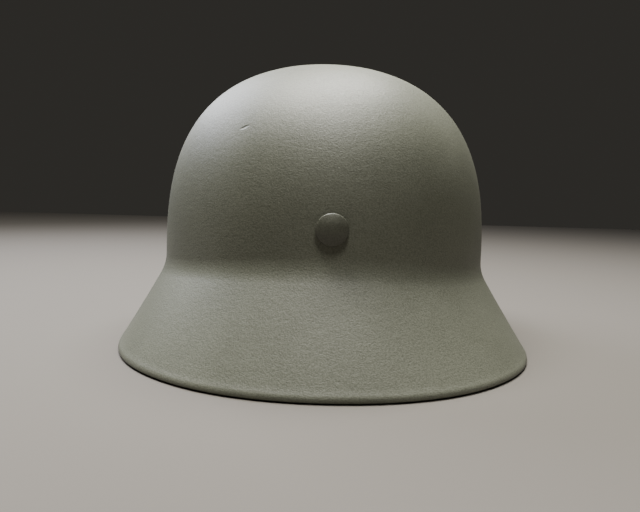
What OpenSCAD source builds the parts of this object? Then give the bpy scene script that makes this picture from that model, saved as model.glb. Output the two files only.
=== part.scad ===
// Pressed steel helmet with a rolled rim, a sprung two-band liner and an open leather chinstrap.
// Millimetres. +Z up, visor towards +Y, neck guard towards -Y, the rim stands on z = 0.

/* [Shell] */
// Half the width of the dome, outside, at the crease
shell_half_width = 100; // [92:0.5:108]
// Half the length of the dome, outside, at the crease
shell_half_length = 115.7; // [108:0.1:124]
// Radius of the front and rear arcs of the dome's oval
shell_end_radius = 86; // [80:0.5:90]
// Height of the crown above the rim
shell_height = 165; // [158:0.5:175]
// Thickness of the steel sheet
sheet = 1.2; // [1:0.1:1.6]
// Roundness of the dome's shoulder in plan height, 2 is an ellipse
shoulder_power = 2.82; // [2.4:0.02:3.1]
// Fullness of the side wall
wall_power = 2.41; // [2.2:0.01:2.8]
// Fullness of the rear wall
rear_power = 2.56; // [2.2:0.01:2.9]

/* [Brim] */
// How far the visor and the neck guard stand out beyond the dome
end_reach = 31.5; // [24:0.5:36]
// How far the brim stands out at the temples
temple_reach = 15; // [10:0.5:20]
// How far the skirt stands out over the ears
ear_reach = 17; // [12:0.5:22]
// How far the skirt stands out behind the ears
quarter_reach = 33.9; // [28:0.5:38]
// Height of the crease above the visor
crease_front = 62; // [58:0.5:64]
// Height of the crease over the ears
crease_ear = 44; // [42:0.5:47]
// Height of the crease behind the ears
crease_quarter = 46.5; // [44:0.5:49]
// Height of the crease above the neck guard
crease_neck = 53.3; // [50:0.5:57]
// How far the visor's edge is lifted above the rim
visor_lift = 30; // [20:1:36]
// Length of the blend on each side of the crease at the visor, tighter towards the neck
crease_leg = 9; // [5:0.5:12]
// Height of the rolled rim along the sheet
roll_length = 5.8; // [4.6:0.2:7]
// Thickness of the rolled rim
roll_thickness = 3.4; // [3:0.1:4.4]

/* [Vents] */
// Angle of each vent from the front
vent_angle = 80; // [65:1:95]
// Height of each vent
vent_height = 106; // [98:1:112]
// Radius of the hole through a vent bushing
vent_bore_r = 4.2; // [3:0.1:5]
// Radius of a vent bushing's flange
vent_flange_r = 7; // [6.4:0.1:8.5]

/* [Liner rivets] */
// Height of the three liner rivets
rivet_height = 72; // [70:0.5:74]
// Radius of a liner rivet's head
rivet_head_r = 7.9; // [5:0.1:8.5]
// Thickness of a liner rivet's head
rivet_head_t = 2.8; // [1.6:0.1:3.4]
// Radius of a liner rivet's shank
rivet_shank_r = 2.4; // [1.8:0.1:2.8]
// Place of the front rivets along the band's side arcs, as a share from the middle to the arc's end
rivet_side_share = 0.67; // [0.62:0.01:0.74]

/* [Liner bands] */
// Height of the outer band's lower edge
band_z = 62; // [60:0.5:64]
// Depth of the outer band
band_h = 20; // [18:0.5:22]
// Thickness of both bands
band_t = 1; // [0.8:0.1:1.2]
// Space between the outer band's top edge and the shell
band_clear = 1; // [0.9:0.1:1.6]
// Space between the two bands
spring_gap = 8; // [7:0.5:9.5]
// Depth of the inner band
inner_h = 14; // [12:0.5:16]
// Thickness of a spring
spring_t = 0.6; // [0.4:0.1:0.9]
// Depth of a spring
spring_h = 9; // [8:0.5:11]

/* [Liner leather] */
// Thickness of the liner leather
leather_t = 1.6; // [1.2:0.1:2]
// Thickness of the felt behind the brow leather
felt_t = 1.5; // [1:0.1:2.5]
// Height to which the leather fingers would close
liner_top = 140; // [130:1:143]
// Height of the slots' lower ends between the fingers
slot_z = 88; // [84:1:94]
// Depth of the brow leather below the bands
leather_drop = 3; // [2:0.5:4]

/* [Chinstrap] */
// Width of the strap
strap_w = 15; // [12:0.5:17]
// Thickness of the strap
strap_t = 2; // [1.6:0.1:2.4]
// Length of the short half that lies on the ground, up to the buckle's bar
short_run = 52; // [46:1:58]
// Space between the buckle and the long half's fold
strap_apart = 10; // [6:0.5:14]
// Space between the long half's end and its own upright part
tail_clear = 16; // [12:0.5:22]
// Radius of the bail wire
wire_r = 1.25; // [1:0.05:1.5]
// Distance between a bail's two bars
bail_drop = 14; // [12:0.5:15]

/* [Hidden] */

// Free radial space of a turning fit, and of leather round a wire
running = 0.06;
soft_gap = 0.3;
// Space left where a flat face meets a curved sheet
seat_gap = 0.35;
// Space round a rivet in its hole
hole_gap = 0.1;
// Overlap that joins two pieces of one solid
weld = 0.01;

// Steps round the shell, and steps along each stretch of its section
AROUND = 72;
DOME_STEPS = 15;
BLEND_STEPS = 4;
FLARE_STEPS = 3;

// A cubic curve through [angle, value] keys, level at both ends
function key_slope(keys, i) = i == 0 || i == len(keys) - 1 ? 0
    : (keys[i + 1][1] - keys[i - 1][1]) / (keys[i + 1][0] - keys[i - 1][0]);
function key_span(keys, x, i = 0) =
    i >= len(keys) - 2 || x <= keys[i + 1][0] ? i : key_span(keys, x, i + 1);
function hermite(v0, m0, v1, m1, t) =
    (2 * t ^ 3 - 3 * t ^ 2 + 1) * v0 + (t ^ 3 - 2 * t ^ 2 + t) * m0
    + (3 * t ^ 2 - 2 * t ^ 3) * v1 + (t ^ 3 - t ^ 2) * m1;
function keyed_at(keys, x, i, h) =
    hermite(keys[i][1], key_slope(keys, i) * h,
            keys[i + 1][1], key_slope(keys, i + 1) * h, (x - keys[i][0]) / h);
function keyed(keys, x) =
    let(i = key_span(keys, x)) keyed_at(keys, x, i, keys[i + 1][0] - keys[i][0]);

function clamp01(x) = max(0, min(1, x));
function smooth(t) = t * t * (3 - 2 * t);
// Angle from the front, 0 to 180, the same on both sides
function folded(a) = abs(a) > 180 ? 360 - abs(a) : abs(a);

// Radius of a four-arc oval in the direction a degrees from the front
function side_radius(hw, hl, er) = ((hl - er) ^ 2 + hw ^ 2 - er ^ 2) / (2 * (hw - er));
function oval(a, hw, hl, er) =
    let(cy = hl - er, sr = side_radius(hw, hl, er), cx = sr - hw,
        s = abs(sin(a)), c = abs(cos(a)), meet = atan2(cy, cx),
        turn = atan2(sr * cos(meet) - cx, sr * sin(meet)))
    atan2(s, c) < turn
        ? c * cy + sqrt((c * cy) ^ 2 - cy ^ 2 + er ^ 2)
        : -s * cx + sqrt((s * cx) ^ 2 - cx ^ 2 + sr ^ 2);
function shell_plan(a) = oval(a, shell_half_width, shell_half_length, shell_end_radius);

// Crease height, reach and rim height round the shell
crease_keys = [[0, crease_front], [60, (crease_front + crease_ear) / 2 + 1],
               [90, crease_ear], [135, crease_quarter], [180, crease_neck]];
reach_keys = [[0, end_reach], [40, end_reach], [65, temple_reach],
              [90, ear_reach], [135, quarter_reach], [180, end_reach]];
visor_end = 33;
ear_start = 70;
leg_keys = [[0, crease_leg], [90, crease_leg - 2], [135, crease_leg - 3], [180, crease_leg - 2]];
function leg(a) = keyed(leg_keys, folded(a));
function crease(a) = keyed(crease_keys, folded(a));
function reach(a) = keyed(reach_keys, folded(a));
function rim(a) =
    visor_lift * (1 - smooth(clamp01((folded(a) - visor_end) / (ear_start - visor_end))));
function wall(a) = wall_power + (rear_power - wall_power) * clamp01((folded(a) - 60) / 90);

// Share of the crease radius that the dome has at the height z
function dome_share(a, z) =
    let(up = clamp01((z - crease(a)) / (shell_height - crease(a))) ^ (shoulder_power / 2))
    sqrt(1 - up ^ 2) ^ (2 / wall(a));
function dome_radius(a, z) = shell_plan(a) * dome_share(a, z);
function dome_point(a, z) = [dome_radius(a, z) * sin(a), dome_radius(a, z) * cos(a), z];
function dome_normal(a, z) =
    let(n = cross(dome_point(a, z + 1) - dome_point(a, z - 1),
                  dome_point(a + 1, z) - dome_point(a - 1, z)),
        out = n[0] * sin(a) + n[1] * cos(a) < 0 ? -n : n)
    out / norm(out);

// Outside of the shell's section, from below the crown to the foot of the flare: [radius, height]
function dome_line(a) =
    let(top = shell_height - crease(a), last = acos((leg(a) / top) ^ (shoulder_power / 2)))
    [for (i = [1:DOME_STEPS]) let(p = last * i / DOME_STEPS)
        [shell_plan(a) * sin(p) ^ (2 / wall(a)), crease(a) + top * cos(p) ^ (2 / shoulder_power)]];
function flare_dir(a) = let(v = [reach(a), rim(a) - crease(a)]) v / norm(v);
// The rolled rim is an oval, long along the flare, that ends at the reach and at the rim
function bead_centre(a) =
    let(d = flare_dir(a), l = roll_length / 2, t = roll_thickness / 2)
    [shell_plan(a) + reach(a) - norm([l * d[0], t * d[1]]), rim(a) + norm([l * d[1], t * d[0]])];
function out_of(d) = [-d[1], d[0]];
// Where the flat sheet runs into the roll, which turns inwards and stands little proud outside
roll_proud = 0.2;
function flare_foot(a) =
    bead_centre(a) - flare_dir(a) * roll_length * 0.62
    + out_of(flare_dir(a)) * (roll_thickness / 2 - roll_proud);
function blend_line(a) =
    let(corner = [shell_plan(a), crease(a)], foot = flare_foot(a),
        end = corner + leg(a) * (foot - corner) / norm(foot - corner),
        start = dome_line(a)[DOME_STEPS - 1])
    [for (i = [1:BLEND_STEPS]) let(t = i / BLEND_STEPS)
        (1 - t) ^ 2 * start + 2 * t * (1 - t) * corner + t ^ 2 * end];
function flare_line(a) =
    let(start = blend_line(a)[BLEND_STEPS - 1], foot = flare_foot(a))
    [for (i = [1:FLARE_STEPS]) start + (foot - start) * i / FLARE_STEPS];
function outside(a) = concat(dome_line(a), blend_line(a), flare_line(a));
// The roll from the sheet outside, under the edge, to the inside: two points lie on the ground
function bead(a) =
    let(c = bead_centre(a), d = flare_dir(a), n = out_of(d),
        l = roll_length / 2, t = roll_thickness / 2,
        low = atan2(-t * n[1], -l * d[1]))
    [for (w = [118, 88, 62]) c + d * l * cos(w) + n * t * sin(w),
     for (w = [28]) c + d * l * cos(w) + n * t * sin(w),
     [c[0] + 0.7, rim(a)],
     [c[0] - 0.5, rim(a)],
     for (w = [-62, -95, -132]) c + d * l * cos(w) + n * t * sin(w)];
// The line moved inwards by t, square to itself; before is the point that comes ahead of it
function inset(line, t, before) =
    [for (i = [0:len(line) - 1])
        let(p = i == 0 ? before : line[i - 1], q = line[min(len(line) - 1, i + 1)], d = q - p)
        line[i] - t * out_of(d) / norm(d)];
function section(a) =
    let(o = outside(a), i = inset(o, sheet, [0, shell_height]))
    concat(o, bead(a), [for (k = [len(i) - 2:-1:0]) i[k]]);

// Triangles between m rings of n points, the first of them point number first
function skin_faces(m, n, first, wrap) =
    [for (i = [0:wrap ? m - 1 : m - 2], j = [0:n - 1], half = [0, 1])
        let(p = first + i * n + j, q = first + i * n + (j + 1) % n,
            below = wrap && i == m - 1 ? -i * n : n)
        half == 0 ? [p, p + below, q] : [q, p + below, q + below]];
// A closed skin from rings between two end points
module capped_loft(rings, first, last) {
    m = len(rings);
    n = len(rings[0]);
    foot = 1 + (m - 1) * n;
    polyhedron(concat([first], [for (r = rings) each r], [last]), concat(
        [for (j = [0:n - 1]) [0, 1 + j, 1 + (j + 1) % n]],
        skin_faces(m, n, 1, false),
        [for (j = [0:n - 1]) [foot + j, m * n + 1, foot + (j + 1) % n]]), convexity = 6);
}
// A closed skin from rings that come round to the first again
module closed_loft(rings) {
    polyhedron([for (r = rings) each r], skin_faces(len(rings), len(rings[0]), 0, true), convexity = 6);
}
module shell_skin() {
    angles = [for (j = [0:AROUND - 1]) 360 * j / AROUND];
    sections = [for (a = angles) section(a)];
    rings = [for (i = [0:len(sections[0]) - 1])
        [for (j = [0:AROUND - 1]) let(r = sections[j][i][0], z = sections[j][i][1])
            [r * sin(angles[j]), r * cos(angles[j]), z]]];
    capped_loft(rings, [0, 0, shell_height], [0, 0, shell_height - sheet]);
}

// The outer band's oval, which every ring of the liner shares
band_top = band_z + band_h;
band_hw = shell_half_width * dome_share(90, band_top) - sheet - band_clear;
band_hl = shell_half_length * dome_share(180, band_top) - sheet - band_clear;
band_er = shell_end_radius - (shell_half_length - band_hl);
band_sr = side_radius(band_hw, band_hl, band_er);
band_cx = band_sr - band_hw;
band_cy = band_hl - band_er;
// Stations: side 0 is right, 90 front, 180 left, 270 rear; each has its arc's centre and radius.
// A place along an arc is a share of the half arc, from its middle to where the next arc starts
function arc_centre(side) = side % 180 == 0 ? [-band_cx * cos(side), 0, 0] : [0, band_cy * sin(side), 0];
function arc_radius(side) = side % 180 == 0 ? band_sr : band_er;
function arc_half(side) =
    side % 180 == 0 ? atan2(band_cy, band_cx) : 90 - atan2(band_cy, band_cx);
function turned(station) = station[1] * arc_half(station[0]);
// Angle that a length along the band takes up
function turn_of(side, length) = length / arc_radius(side) * 180 / PI;
module at_arc(side, angle) translate(arc_centre(side)) rotate([0, 0, side + angle]) children();
module at_station(st) at_arc(st[0], turned(st)) children();
// Space that a flat face of a half width w needs against the inside of the outer band
function band_seat(side, w) =
    let(r = arc_radius(side) - band_t) r - sqrt(r ^ 2 - w ^ 2) + hole_gap;

// A filled four-arc oval, a given depth inside the outer band's face
module oval_face(depth) {
    corner = band_sr * sin(atan2(band_cy, band_cx)) - depth * sin(atan2(band_cy, band_cx));
    for (s = [-1, 1]) translate([0, s * band_cy]) circle(r = band_er - depth, $fn = 180);
    intersection() {
        translate([-band_cx, 0]) circle(r = band_sr - depth, $fn = 240);
        translate([band_cx, 0]) circle(r = band_sr - depth, $fn = 240);
        translate([-band_hw, -corner]) square([2 * band_hw, 2 * corner]);
    }
}
module oval_ring(depth, t, z, h) {
    translate([0, 0, z]) linear_extrude(h) difference() {
        oval_face(depth);
        oval_face(depth + t);
    }
}
// A round pin along the outward direction of a station, between two depths
module radial_pin(side, angle, z, r, depth_out, depth_in) {
    at_arc(side, angle) translate([arc_radius(side) - depth_in, 0, z])
        rotate([0, 90, 0]) cylinder(r = r, h = depth_in - depth_out, $fn = 32);
}

// Small rivets and pins: shank, flat head, and the space under a head
// How far a hole's cutter stands out of the band
cut_clear = 5;
small_r = 1.2;
small_head_r = 2.2;
small_head_t = 0.5;
small_seat = 0.05;

// Where each piece of the liner starts, as a depth inside the outer band's face
inner_depth = band_t + spring_gap;
felt_depth = inner_depth + band_t + small_head_t + 0.2;
leather_depth = felt_depth + felt_t + 0.1;
inner_z = band_z + (band_h - inner_h) / 2;

// Liner rivets: [side, share] stations
rivet_rear = [270, 0];
rivet_left = [180, -rivet_side_share];
rivet_right = [0, rivet_side_share];
washer_r = 6.5;
washer_t = 0.8;
prong_t = 0.9;
prong_w = 3.6;
prong_len = 8;
// Distance from a station's arc centre to the shell's outside at the height z
function seat_at(side, angle, z, t, n = 8) =
    let(c = arc_centre(side), p = [c[0] + t * cos(side + angle), c[1] + t * sin(side + angle)],
        a = atan2(p[0], p[1]))
    n == 0 ? t : seat_at(side, angle, z, t + dome_radius(a, z) - norm(p), n - 1);
function washer_foot(st) = arc_radius(st[0]) - band_t - band_seat(st[0], washer_r) - washer_t;
module liner_rivet(st) {
    seat = seat_at(st[0], turned(st), rivet_height - rivet_head_r, arc_radius(st[0])) + 0.15;
    foot = washer_foot(st) - hole_gap;
    edge = 1.1;
    at_station(st) translate([0, 0, rivet_height]) {
        translate([seat, 0, 0]) rotate([0, 90, 0]) rotate_extrude($fn = 96) union() {
            square([rivet_head_r - edge, rivet_head_t]);
            square([rivet_head_r, rivet_head_t - edge]);
            translate([rivet_head_r - edge, rivet_head_t - edge]) circle(r = edge, $fn = 32);
        }
        translate([foot - prong_t, 0, 0]) rotate([0, 90, 0])
            cylinder(r = rivet_shank_r, h = seat - foot + prong_t + weld, $fn = 32);
        for (s = [-1, 1])
            translate([foot - prong_t, -prong_w / 2, s > 0 ? 0 : -prong_len])
                cube([prong_t, prong_w, prong_len]);
    }
}
module liner_washer(st) {
    at_station(st) translate([washer_foot(st), 0, rivet_height]) rotate([0, 90, 0]) difference() {
        cylinder(r = washer_r, h = washer_t, $fn = 48);
        translate([0, 0, -1]) cylinder(r = rivet_shank_r + hole_gap, h = washer_t + 2, $fn = 32);
    }
}

// Vent bushings: a tube with a rolled flange on each face of the sheet
vent_wall = 0.9;
vent_flange_t = 1.1;
module at_vent(s) {
    p = dome_point(s * vent_angle, vent_height);
    n = dome_normal(s * vent_angle, vent_height);
    translate(p) rotate([0, acos(n[2]), atan2(n[1], n[0])]) children();
}
vent_depth = sheet + 2 * seat_gap;
module vent_bushing(s) {
    at_vent(s) difference() {
        rotate_extrude($fn = 72) union() {
            translate([0, -vent_depth - vent_flange_t])
                square([vent_bore_r + vent_wall, vent_depth + 2 * vent_flange_t]);
            square([vent_flange_r - vent_flange_t / 2, vent_flange_t]);
            translate([vent_flange_r - vent_flange_t / 2, vent_flange_t / 2])
                circle(r = vent_flange_t / 2, $fn = 32);
            translate([0, -vent_depth - vent_flange_t])
                square([vent_flange_r - 0.8, vent_flange_t]);
        }
        translate([0, 0, -vent_depth - vent_flange_t - 1])
            cylinder(r = vent_bore_r, h = vent_depth + 2 * vent_flange_t + 2, $fn = 72);
    }
}

// Springs: a bowed strip that touches the outer band in the middle and the inner band at its ends
// The fore springs stay near the widest place where the side arcs are long
spring_fore = 31.5;
fore_share = min(0.3, spring_fore / (arc_half(0) * PI / 180 * arc_radius(0)));
SPRINGS = [[90, 0], [180, -fore_share], [180, 0.53], [0, fore_share], [0, -0.53]];
// Lengths along the band, measured from the spring's middle or its end
spring_half = 20;
spring_flat = 5;
spring_foot = 7.5;
foot_pin = spring_half - spring_foot / 2;
function spring_bow(w) =
    smooth(clamp01((spring_half - spring_foot - abs(w)) / (spring_half - spring_foot - spring_flat)));
function foot_turn(i) = turn_of(SPRINGS[i][0], foot_pin);
module spring(i) {
    side = SPRINGS[i][0];
    low = arc_radius(side) - inner_depth + 0.1;
    rise = spring_gap - spring_t - 0.2;
    steps = [for (k = [-20:20]) spring_half * k / 20];
    edge = [for (w = steps) low + rise * spring_bow(w)];
    dirs = [for (w = steps) let(g = turn_of(side, w)) [cos(g), sin(g)]];
    difference() {
        at_station(SPRINGS[i]) translate([0, 0, rivet_height - spring_h / 2])
            linear_extrude(spring_h) polygon(concat(
                [for (k = [0:40]) edge[k] * dirs[k]],
                [for (k = [40:-1:0]) (edge[k] + spring_t) * dirs[k]]));
        for (k = [-1:1])
            radial_pin(side, turned(SPRINGS[i]) + k * foot_turn(i), rivet_height, small_r + hole_gap,
                       -2, inner_depth + 3);
    }
}
// Small rivets stand in the middle of each spring and at each foot
module spring_rivets() {
    color("dimgray") for (i = [0:len(SPRINGS) - 1]) {
        side = SPRINGS[i][0];
        mid = turned(SPRINGS[i]);
        small_rivet(side, mid, 0, band_t + spring_t + 0.1 + hole_gap);
        for (s = [-1, 1])
            small_rivet(side, mid + s * foot_turn(i), inner_depth - spring_t - 0.1 - hole_gap,
                        inner_depth + band_t);
    }
}
// A shank between two depths with a flat head past each
module small_rivet(side, angle, depth_out, depth_in) {
    out = depth_out - small_seat;
    in = depth_in + small_seat;
    radial_pin(side, angle, rivet_height, small_r, out - weld, in + weld);
    radial_pin(side, angle, rivet_height, small_head_r, out - small_head_t, out);
    radial_pin(side, angle, rivet_height, small_head_r, in, in + small_head_t);
}

// Leather liner: an upright brow band that divides into eight fingers
FINGERS = 8;
ACROSS = [-1, -0.95, -0.86, -0.7, -0.47, -0.23, 0, 0.23, 0.47, 0.7, 0.86, 0.95];
LEATHER_STEPS = 7;
liner_power = 2.3;
tip_angle = 20;
brow_z = inner_z - leather_drop;
brow_top = inner_z + inner_h;
slot_angle = acos(((slot_z - brow_top) / (liner_top - brow_top)) ^ (liner_power / 2));
function leather_plan(a) =
    oval(a, band_hw - leather_depth, band_hl - leather_depth, band_er - leather_depth);
function finger_end(u) = slot_angle + (tip_angle - slot_angle) * (1 - abs(u) ^ 6);
function leather_line(a, u) = concat(
    [for (k = [0:LEATHER_STEPS])
        let(p = finger_end(u) + (90 - finger_end(u)) * k / LEATHER_STEPS)
        [leather_plan(a) * sin(p) ^ (2 / liner_power),
         brow_top + (liner_top - brow_top) * cos(p) ^ (2 / liner_power)]],
    [[leather_plan(a), brow_z]]);
function leather_loop(a, u) =
    let(o = leather_line(a, u), i = inset(o, leather_t, o[0]))
    concat(o, [for (k = [len(i) - 1:-1:0]) i[k]]);
module leather_skin() {
    columns = [for (f = [0:FINGERS - 1], u = ACROSS) [(f + 0.5 + u / 2) * 360 / FINGERS, u]];
    loops = [for (c = columns) leather_loop(c[0], c[1])];
    closed_loft([for (i = [0:len(loops[0]) - 1])
        [for (j = [0:len(columns) - 1]) let(r = loops[j][i][0], z = loops[j][i][1], a = columns[j][0])
            [r * sin(a), r * cos(a), z]]]);
}
// Lacing holes, one near each finger's end
lace_angle = 26;
lace_r = 2.6;
function leather_at(a, p) =
    let(r = leather_plan(a) * sin(p) ^ (2 / liner_power))
    [r * sin(a), r * cos(a), brow_top + (liner_top - brow_top) * cos(p) ^ (2 / liner_power)];
module lace_holes() {
    for (f = [0:FINGERS - 1]) {
        a = (f + 0.5) * 360 / FINGERS;
        c = leather_at(a, lace_angle);
        n = cross(leather_at(a, lace_angle + 1) - c, leather_at(a + 1, lace_angle) - c);
        translate(c) rotate([0, acos(n[2] / norm(n)), atan2(n[1], n[0])])
            cylinder(r = lace_r, h = 8, center = true, $fn = 32);
    }
}
// Pins that hold the leather and the felt to the inner band
// Behind the middle of each spring, halfway between two springs at the temples, and at the rear
function inner_run(side) = arc_half(side) * PI / 180 * (arc_radius(side) - inner_depth);
temple_run = (SPRINGS[3][1] * inner_run(0) + inner_run(0) + inner_run(90)) / 2;
TEMPLE = temple_run < inner_run(0) ? [0, temple_run / inner_run(0)]
    : [90, temple_run / inner_run(90) - 1 - inner_run(0) / inner_run(90)];
REAR = [270, 0.49];
function mirrored(station) = [station[0] == 0 ? 180 : station[0], -station[1]];
PINS = concat(SPRINGS, [TEMPLE, mirrored(TEMPLE), REAR, mirrored(REAR)]);
module pin_holes() {
    for (p = PINS) radial_pin(p[0], turned(p), rivet_height, small_r + hole_gap, inner_depth - 2,
                              leather_depth + leather_t + 3);
}

// Bail clips: a tab riveted inside the outer band, curled into a tube below it
clip_t = 0.8;
clip_w = 12;
curl_r = wire_r + running + clip_t;
pivot_x = band_hw - band_t - seat_gap - curl_r;
pivot_z = band_z - curl_r - 0.6;
clip_top = band_z + band_h - 4;
module mirrored(s) mirror([s < 0 ? 1 : 0, 0, 0]) children();
module along_y(r, h) rotate([90, 0, 0]) cylinder(r = r, h = h, center = true, $fn = 48);
module bail_clip(s) {
    difference() {
        mirrored(s) union() {
            translate([pivot_x, 0, pivot_z]) along_y(curl_r, clip_w);
            translate([pivot_x + curl_r - clip_t, -clip_w / 2, pivot_z])
                cube([clip_t, clip_w, clip_top - pivot_z]);
        }
        mirrored(s) translate([pivot_x, 0, pivot_z]) along_y(wire_r + running, clip_w + 2);
        radial_pin(s > 0 ? 0 : 180, 0, rivet_height, small_r + hole_gap, 0, inner_depth);
    }
}
// A rectangular wire frame between two bars that run along Y; the wire swells a little in its bends
swell = 0.05;
module wire_frame(from, to, r, w, bend) {
    v = to - from;
    l = norm(v);
    lap = 0.2;
    translate([from[0], 0, from[1]]) rotate([0, -atan2(v[1], v[0]), 0]) {
        for (x = [0, l]) translate([x, 0, 0]) along_y(r, w - 2 * bend + 2 * lap);
        for (s = [-1, 1]) translate([bend - lap, s * w / 2, 0])
            rotate([0, 90, 0]) cylinder(r = r, h = l - 2 * bend + 2 * lap, $fn = 48);
        for (x = [bend, l - bend], s = [-1, 1]) translate([x, s * (w / 2 - bend), 0])
            rotate([0, 0, x == bend ? (s > 0 ? 90 : 180) : (s > 0 ? 0 : 270)])
                rotate_extrude(angle = 90, $fn = 96) translate([bend, 0]) circle(r = r + swell, $fn = 32);
    }
}
bail_w = strap_w + 2 * wire_r + 2;
bar_z = pivot_z - bail_drop;
bail_bend = 2.1;
module bail(s)
    mirrored(s) wire_frame([pivot_x, pivot_z], [pivot_x, bar_z], wire_r, bail_w, bail_bend);

// Leather strap: a flat section that follows ["run", length] and ["turn", radius, angle] steps.
// Each point of the way is [place, heading]
turn_step = 10;
function strap_way(steps, p, h, i = 0) =
    i >= len(steps) ? []
    : steps[i][0] == "run" ? run_way(steps, p + steps[i][1] * [cos(h), sin(h)], h, i)
    : turn_way(steps, p, h, i, steps[i][1] * sign(steps[i][2]), steps[i][2]);
function run_way(steps, q, h, i) = concat([[q, h]], strap_way(steps, q, h, i + 1));
function turn_way(steps, p, h, i, r, w) =
    let(c = p + r * out_of([cos(h), sin(h)]), n = ceil(abs(w) / turn_step),
        arc = [for (k = [1:n]) let(g = h + w * k / n) [c - r * out_of([cos(g), sin(g)]), g]])
    concat(arc, strap_way(steps, arc[n - 1][0], h + w, i + 1));
module strap_section(steps, start, heading) {
    way = concat([[start, heading]], strap_way(steps, start, heading));
    polygon(concat(
        [for (w = way) w[0] + strap_t / 2 * out_of([cos(w[1]), sin(w[1])])],
        [for (k = [len(way) - 1:-1:0]) let(w = way[k])
            w[0] - strap_t / 2 * out_of([cos(w[1]), sin(w[1])])]));
}
loop_r = wire_r + soft_gap + strap_t / 2;
bend_r = 13;
ess_r = 6;
flap = 12;
ground_gap = soft_gap;
drop = bar_z - bend_r - strap_t / 2 - ground_gap;
// The two arcs that bring a returning layer against the strap
function ess_angle(r) = acos(1 - (2 * r - strap_t - soft_gap) / (2 * ess_r));
function ess_length(r) = 2 * ess_r * sin(ess_angle(r));
module strap_side(s) {
    translate([s * pivot_x, 0, bar_z]) mirrored(-s) rotate([90, 0, 0])
        linear_extrude(strap_w, center = true) children();
}
// From the end of the loop's flap, up and round the bail's bar, down, and along the ground
module strap_half(s, steps) {
    strap_side(s) strap_section(concat(
        [["run", flap], ["turn", ess_r, ess_angle(loop_r)], ["turn", ess_r, -ess_angle(loop_r)],
         ["turn", loop_r, -180], ["run", drop], ["turn", bend_r, 90]], steps),
        [loop_r - strap_t - soft_gap, -ess_length(loop_r) - flap], 90);
}
// Double button that closes a strap's loop round its bail
stud_r = 1.5;
stud_head_r = 4.2;
stud_head_t = 1.3;
stud_z = bar_z - ess_length(loop_r) - flap / 2;
stud_out = loop_r - 1.5 * strap_t - soft_gap;
stud_in = loop_r + strap_t / 2;
module at_stud(s) translate([s * pivot_x, 0, stud_z]) rotate([0, -s * 90, 0]) children();
module stud_hole(s)
    at_stud(s) translate([0, 0, stud_out - 2]) cylinder(r = stud_r + hole_gap, h = stud_in - stud_out + 4, $fn = 32);
module strap_stud(s) {
    at_stud(s) {
        translate([0, 0, stud_out - hole_gap - weld])
            cylinder(r = stud_r, h = stud_in - stud_out + 2 * (hole_gap + weld), $fn = 32);
        translate([0, 0, stud_in + hole_gap]) cylinder(r = stud_head_r, h = 0.8, $fn = 48);
        translate([0, 0, stud_out - hole_gap]) rotate([180, 0, 0]) rotate_extrude($fn = 48) union() {
            square([stud_head_r - 0.6, stud_head_t]);
            square([stud_head_r, stud_head_t - 0.6]);
            translate([stud_head_r - 0.6, stud_head_t - 0.6]) circle(r = 0.6, $fn = 24);
        }
    }
}

// Buckle: a wire frame whose near bar lies in the short strap's fold, with a prong on that bar
buckle_r = 1.1;
buckle_w = strap_w + 2 * buckle_r + 3;
buckle_l = 16;
buckle_bend = 2.4;
prong_r = 0.9;
prong_eye_w = 3.2;
prong_slot_w = 4.4;
prong_slot_run = 12;
prong_slot_lead = 4.2;
fold_r = buckle_r + soft_gap + strap_t / 2;
buckle_x = -pivot_x + loop_r + bend_r + short_run;
buckle_z = ground_gap + strap_t / 2 + fold_r;
prong_lift = buckle_r + prong_r + running;

// Punched holes and the cut corners of the long half's end
long_fold_r = 9;
hole_count = 5;
hole_first = 16;
hole_room = 10;
punch_r = 1.3;
tail_z = ground_gap + strap_t / 2 + 2 * long_fold_r;
fold_x = buckle_x + buckle_l + buckle_r + strap_apart + strap_t / 2 + long_fold_r;
tail_x = pivot_x - loop_r - strap_t / 2 - tail_clear;
long_run = pivot_x - loop_r - bend_r - fold_x;
long_tail = tail_x - fold_x;
hole_pitch = (long_tail - hole_first - hole_room) / (hole_count - 1);
module end_trim() {
    for (s = [-1, 1]) translate([tail_x - 5, s * strap_w / 2, tail_z])
        rotate([0, 0, s * -50]) translate([0, s > 0 ? 0 : -10, -strap_t])
            cube([14, 10, 2 * strap_t]);
}

module shell() {
    color([0.40, 0.41, 0.36]) difference() {
        shell_skin();
        for (st = [rivet_rear, rivet_left, rivet_right])
            radial_pin(st[0], turned(st), rivet_height, rivet_shank_r + hole_gap, -20, inner_depth);
        for (s = [-1, 1]) at_vent(s) translate([0, 0, -10])
            cylinder(r = vent_bore_r + vent_wall + hole_gap, h = 20, $fn = 72);
    }
}
module vent_bushing_left() { color([0.38, 0.39, 0.34]) vent_bushing(-1); }
module vent_bushing_right() { color([0.38, 0.39, 0.34]) vent_bushing(1); }
module rear_rivet() { color([0.36, 0.37, 0.32]) liner_rivet(rivet_rear); }
module front_left_rivet() { color([0.36, 0.37, 0.32]) liner_rivet(rivet_left); }
module front_right_rivet() { color([0.36, 0.37, 0.32]) liner_rivet(rivet_right); }
module rear_washer() { color("silver") liner_washer(rivet_rear); }
module front_left_washer() { color("silver") liner_washer(rivet_left); }
module front_right_washer() { color("silver") liner_washer(rivet_right); }
module outer_band() {
    color([0.55, 0.56, 0.55]) difference() {
        oval_ring(0, band_t, band_z, band_h);
        for (st = [rivet_rear, rivet_left, rivet_right])
            radial_pin(st[0], turned(st), rivet_height, rivet_shank_r + hole_gap, -cut_clear, band_t + 3);
        for (i = [0:len(SPRINGS) - 1])
            radial_pin(SPRINGS[i][0], turned(SPRINGS[i]), rivet_height, small_r + hole_gap,
                       -cut_clear, band_t + 3);
        for (side = [0, 180])
            radial_pin(side, 0, rivet_height, small_r + hole_gap, -cut_clear, band_t + 3);
    }
}
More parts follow.
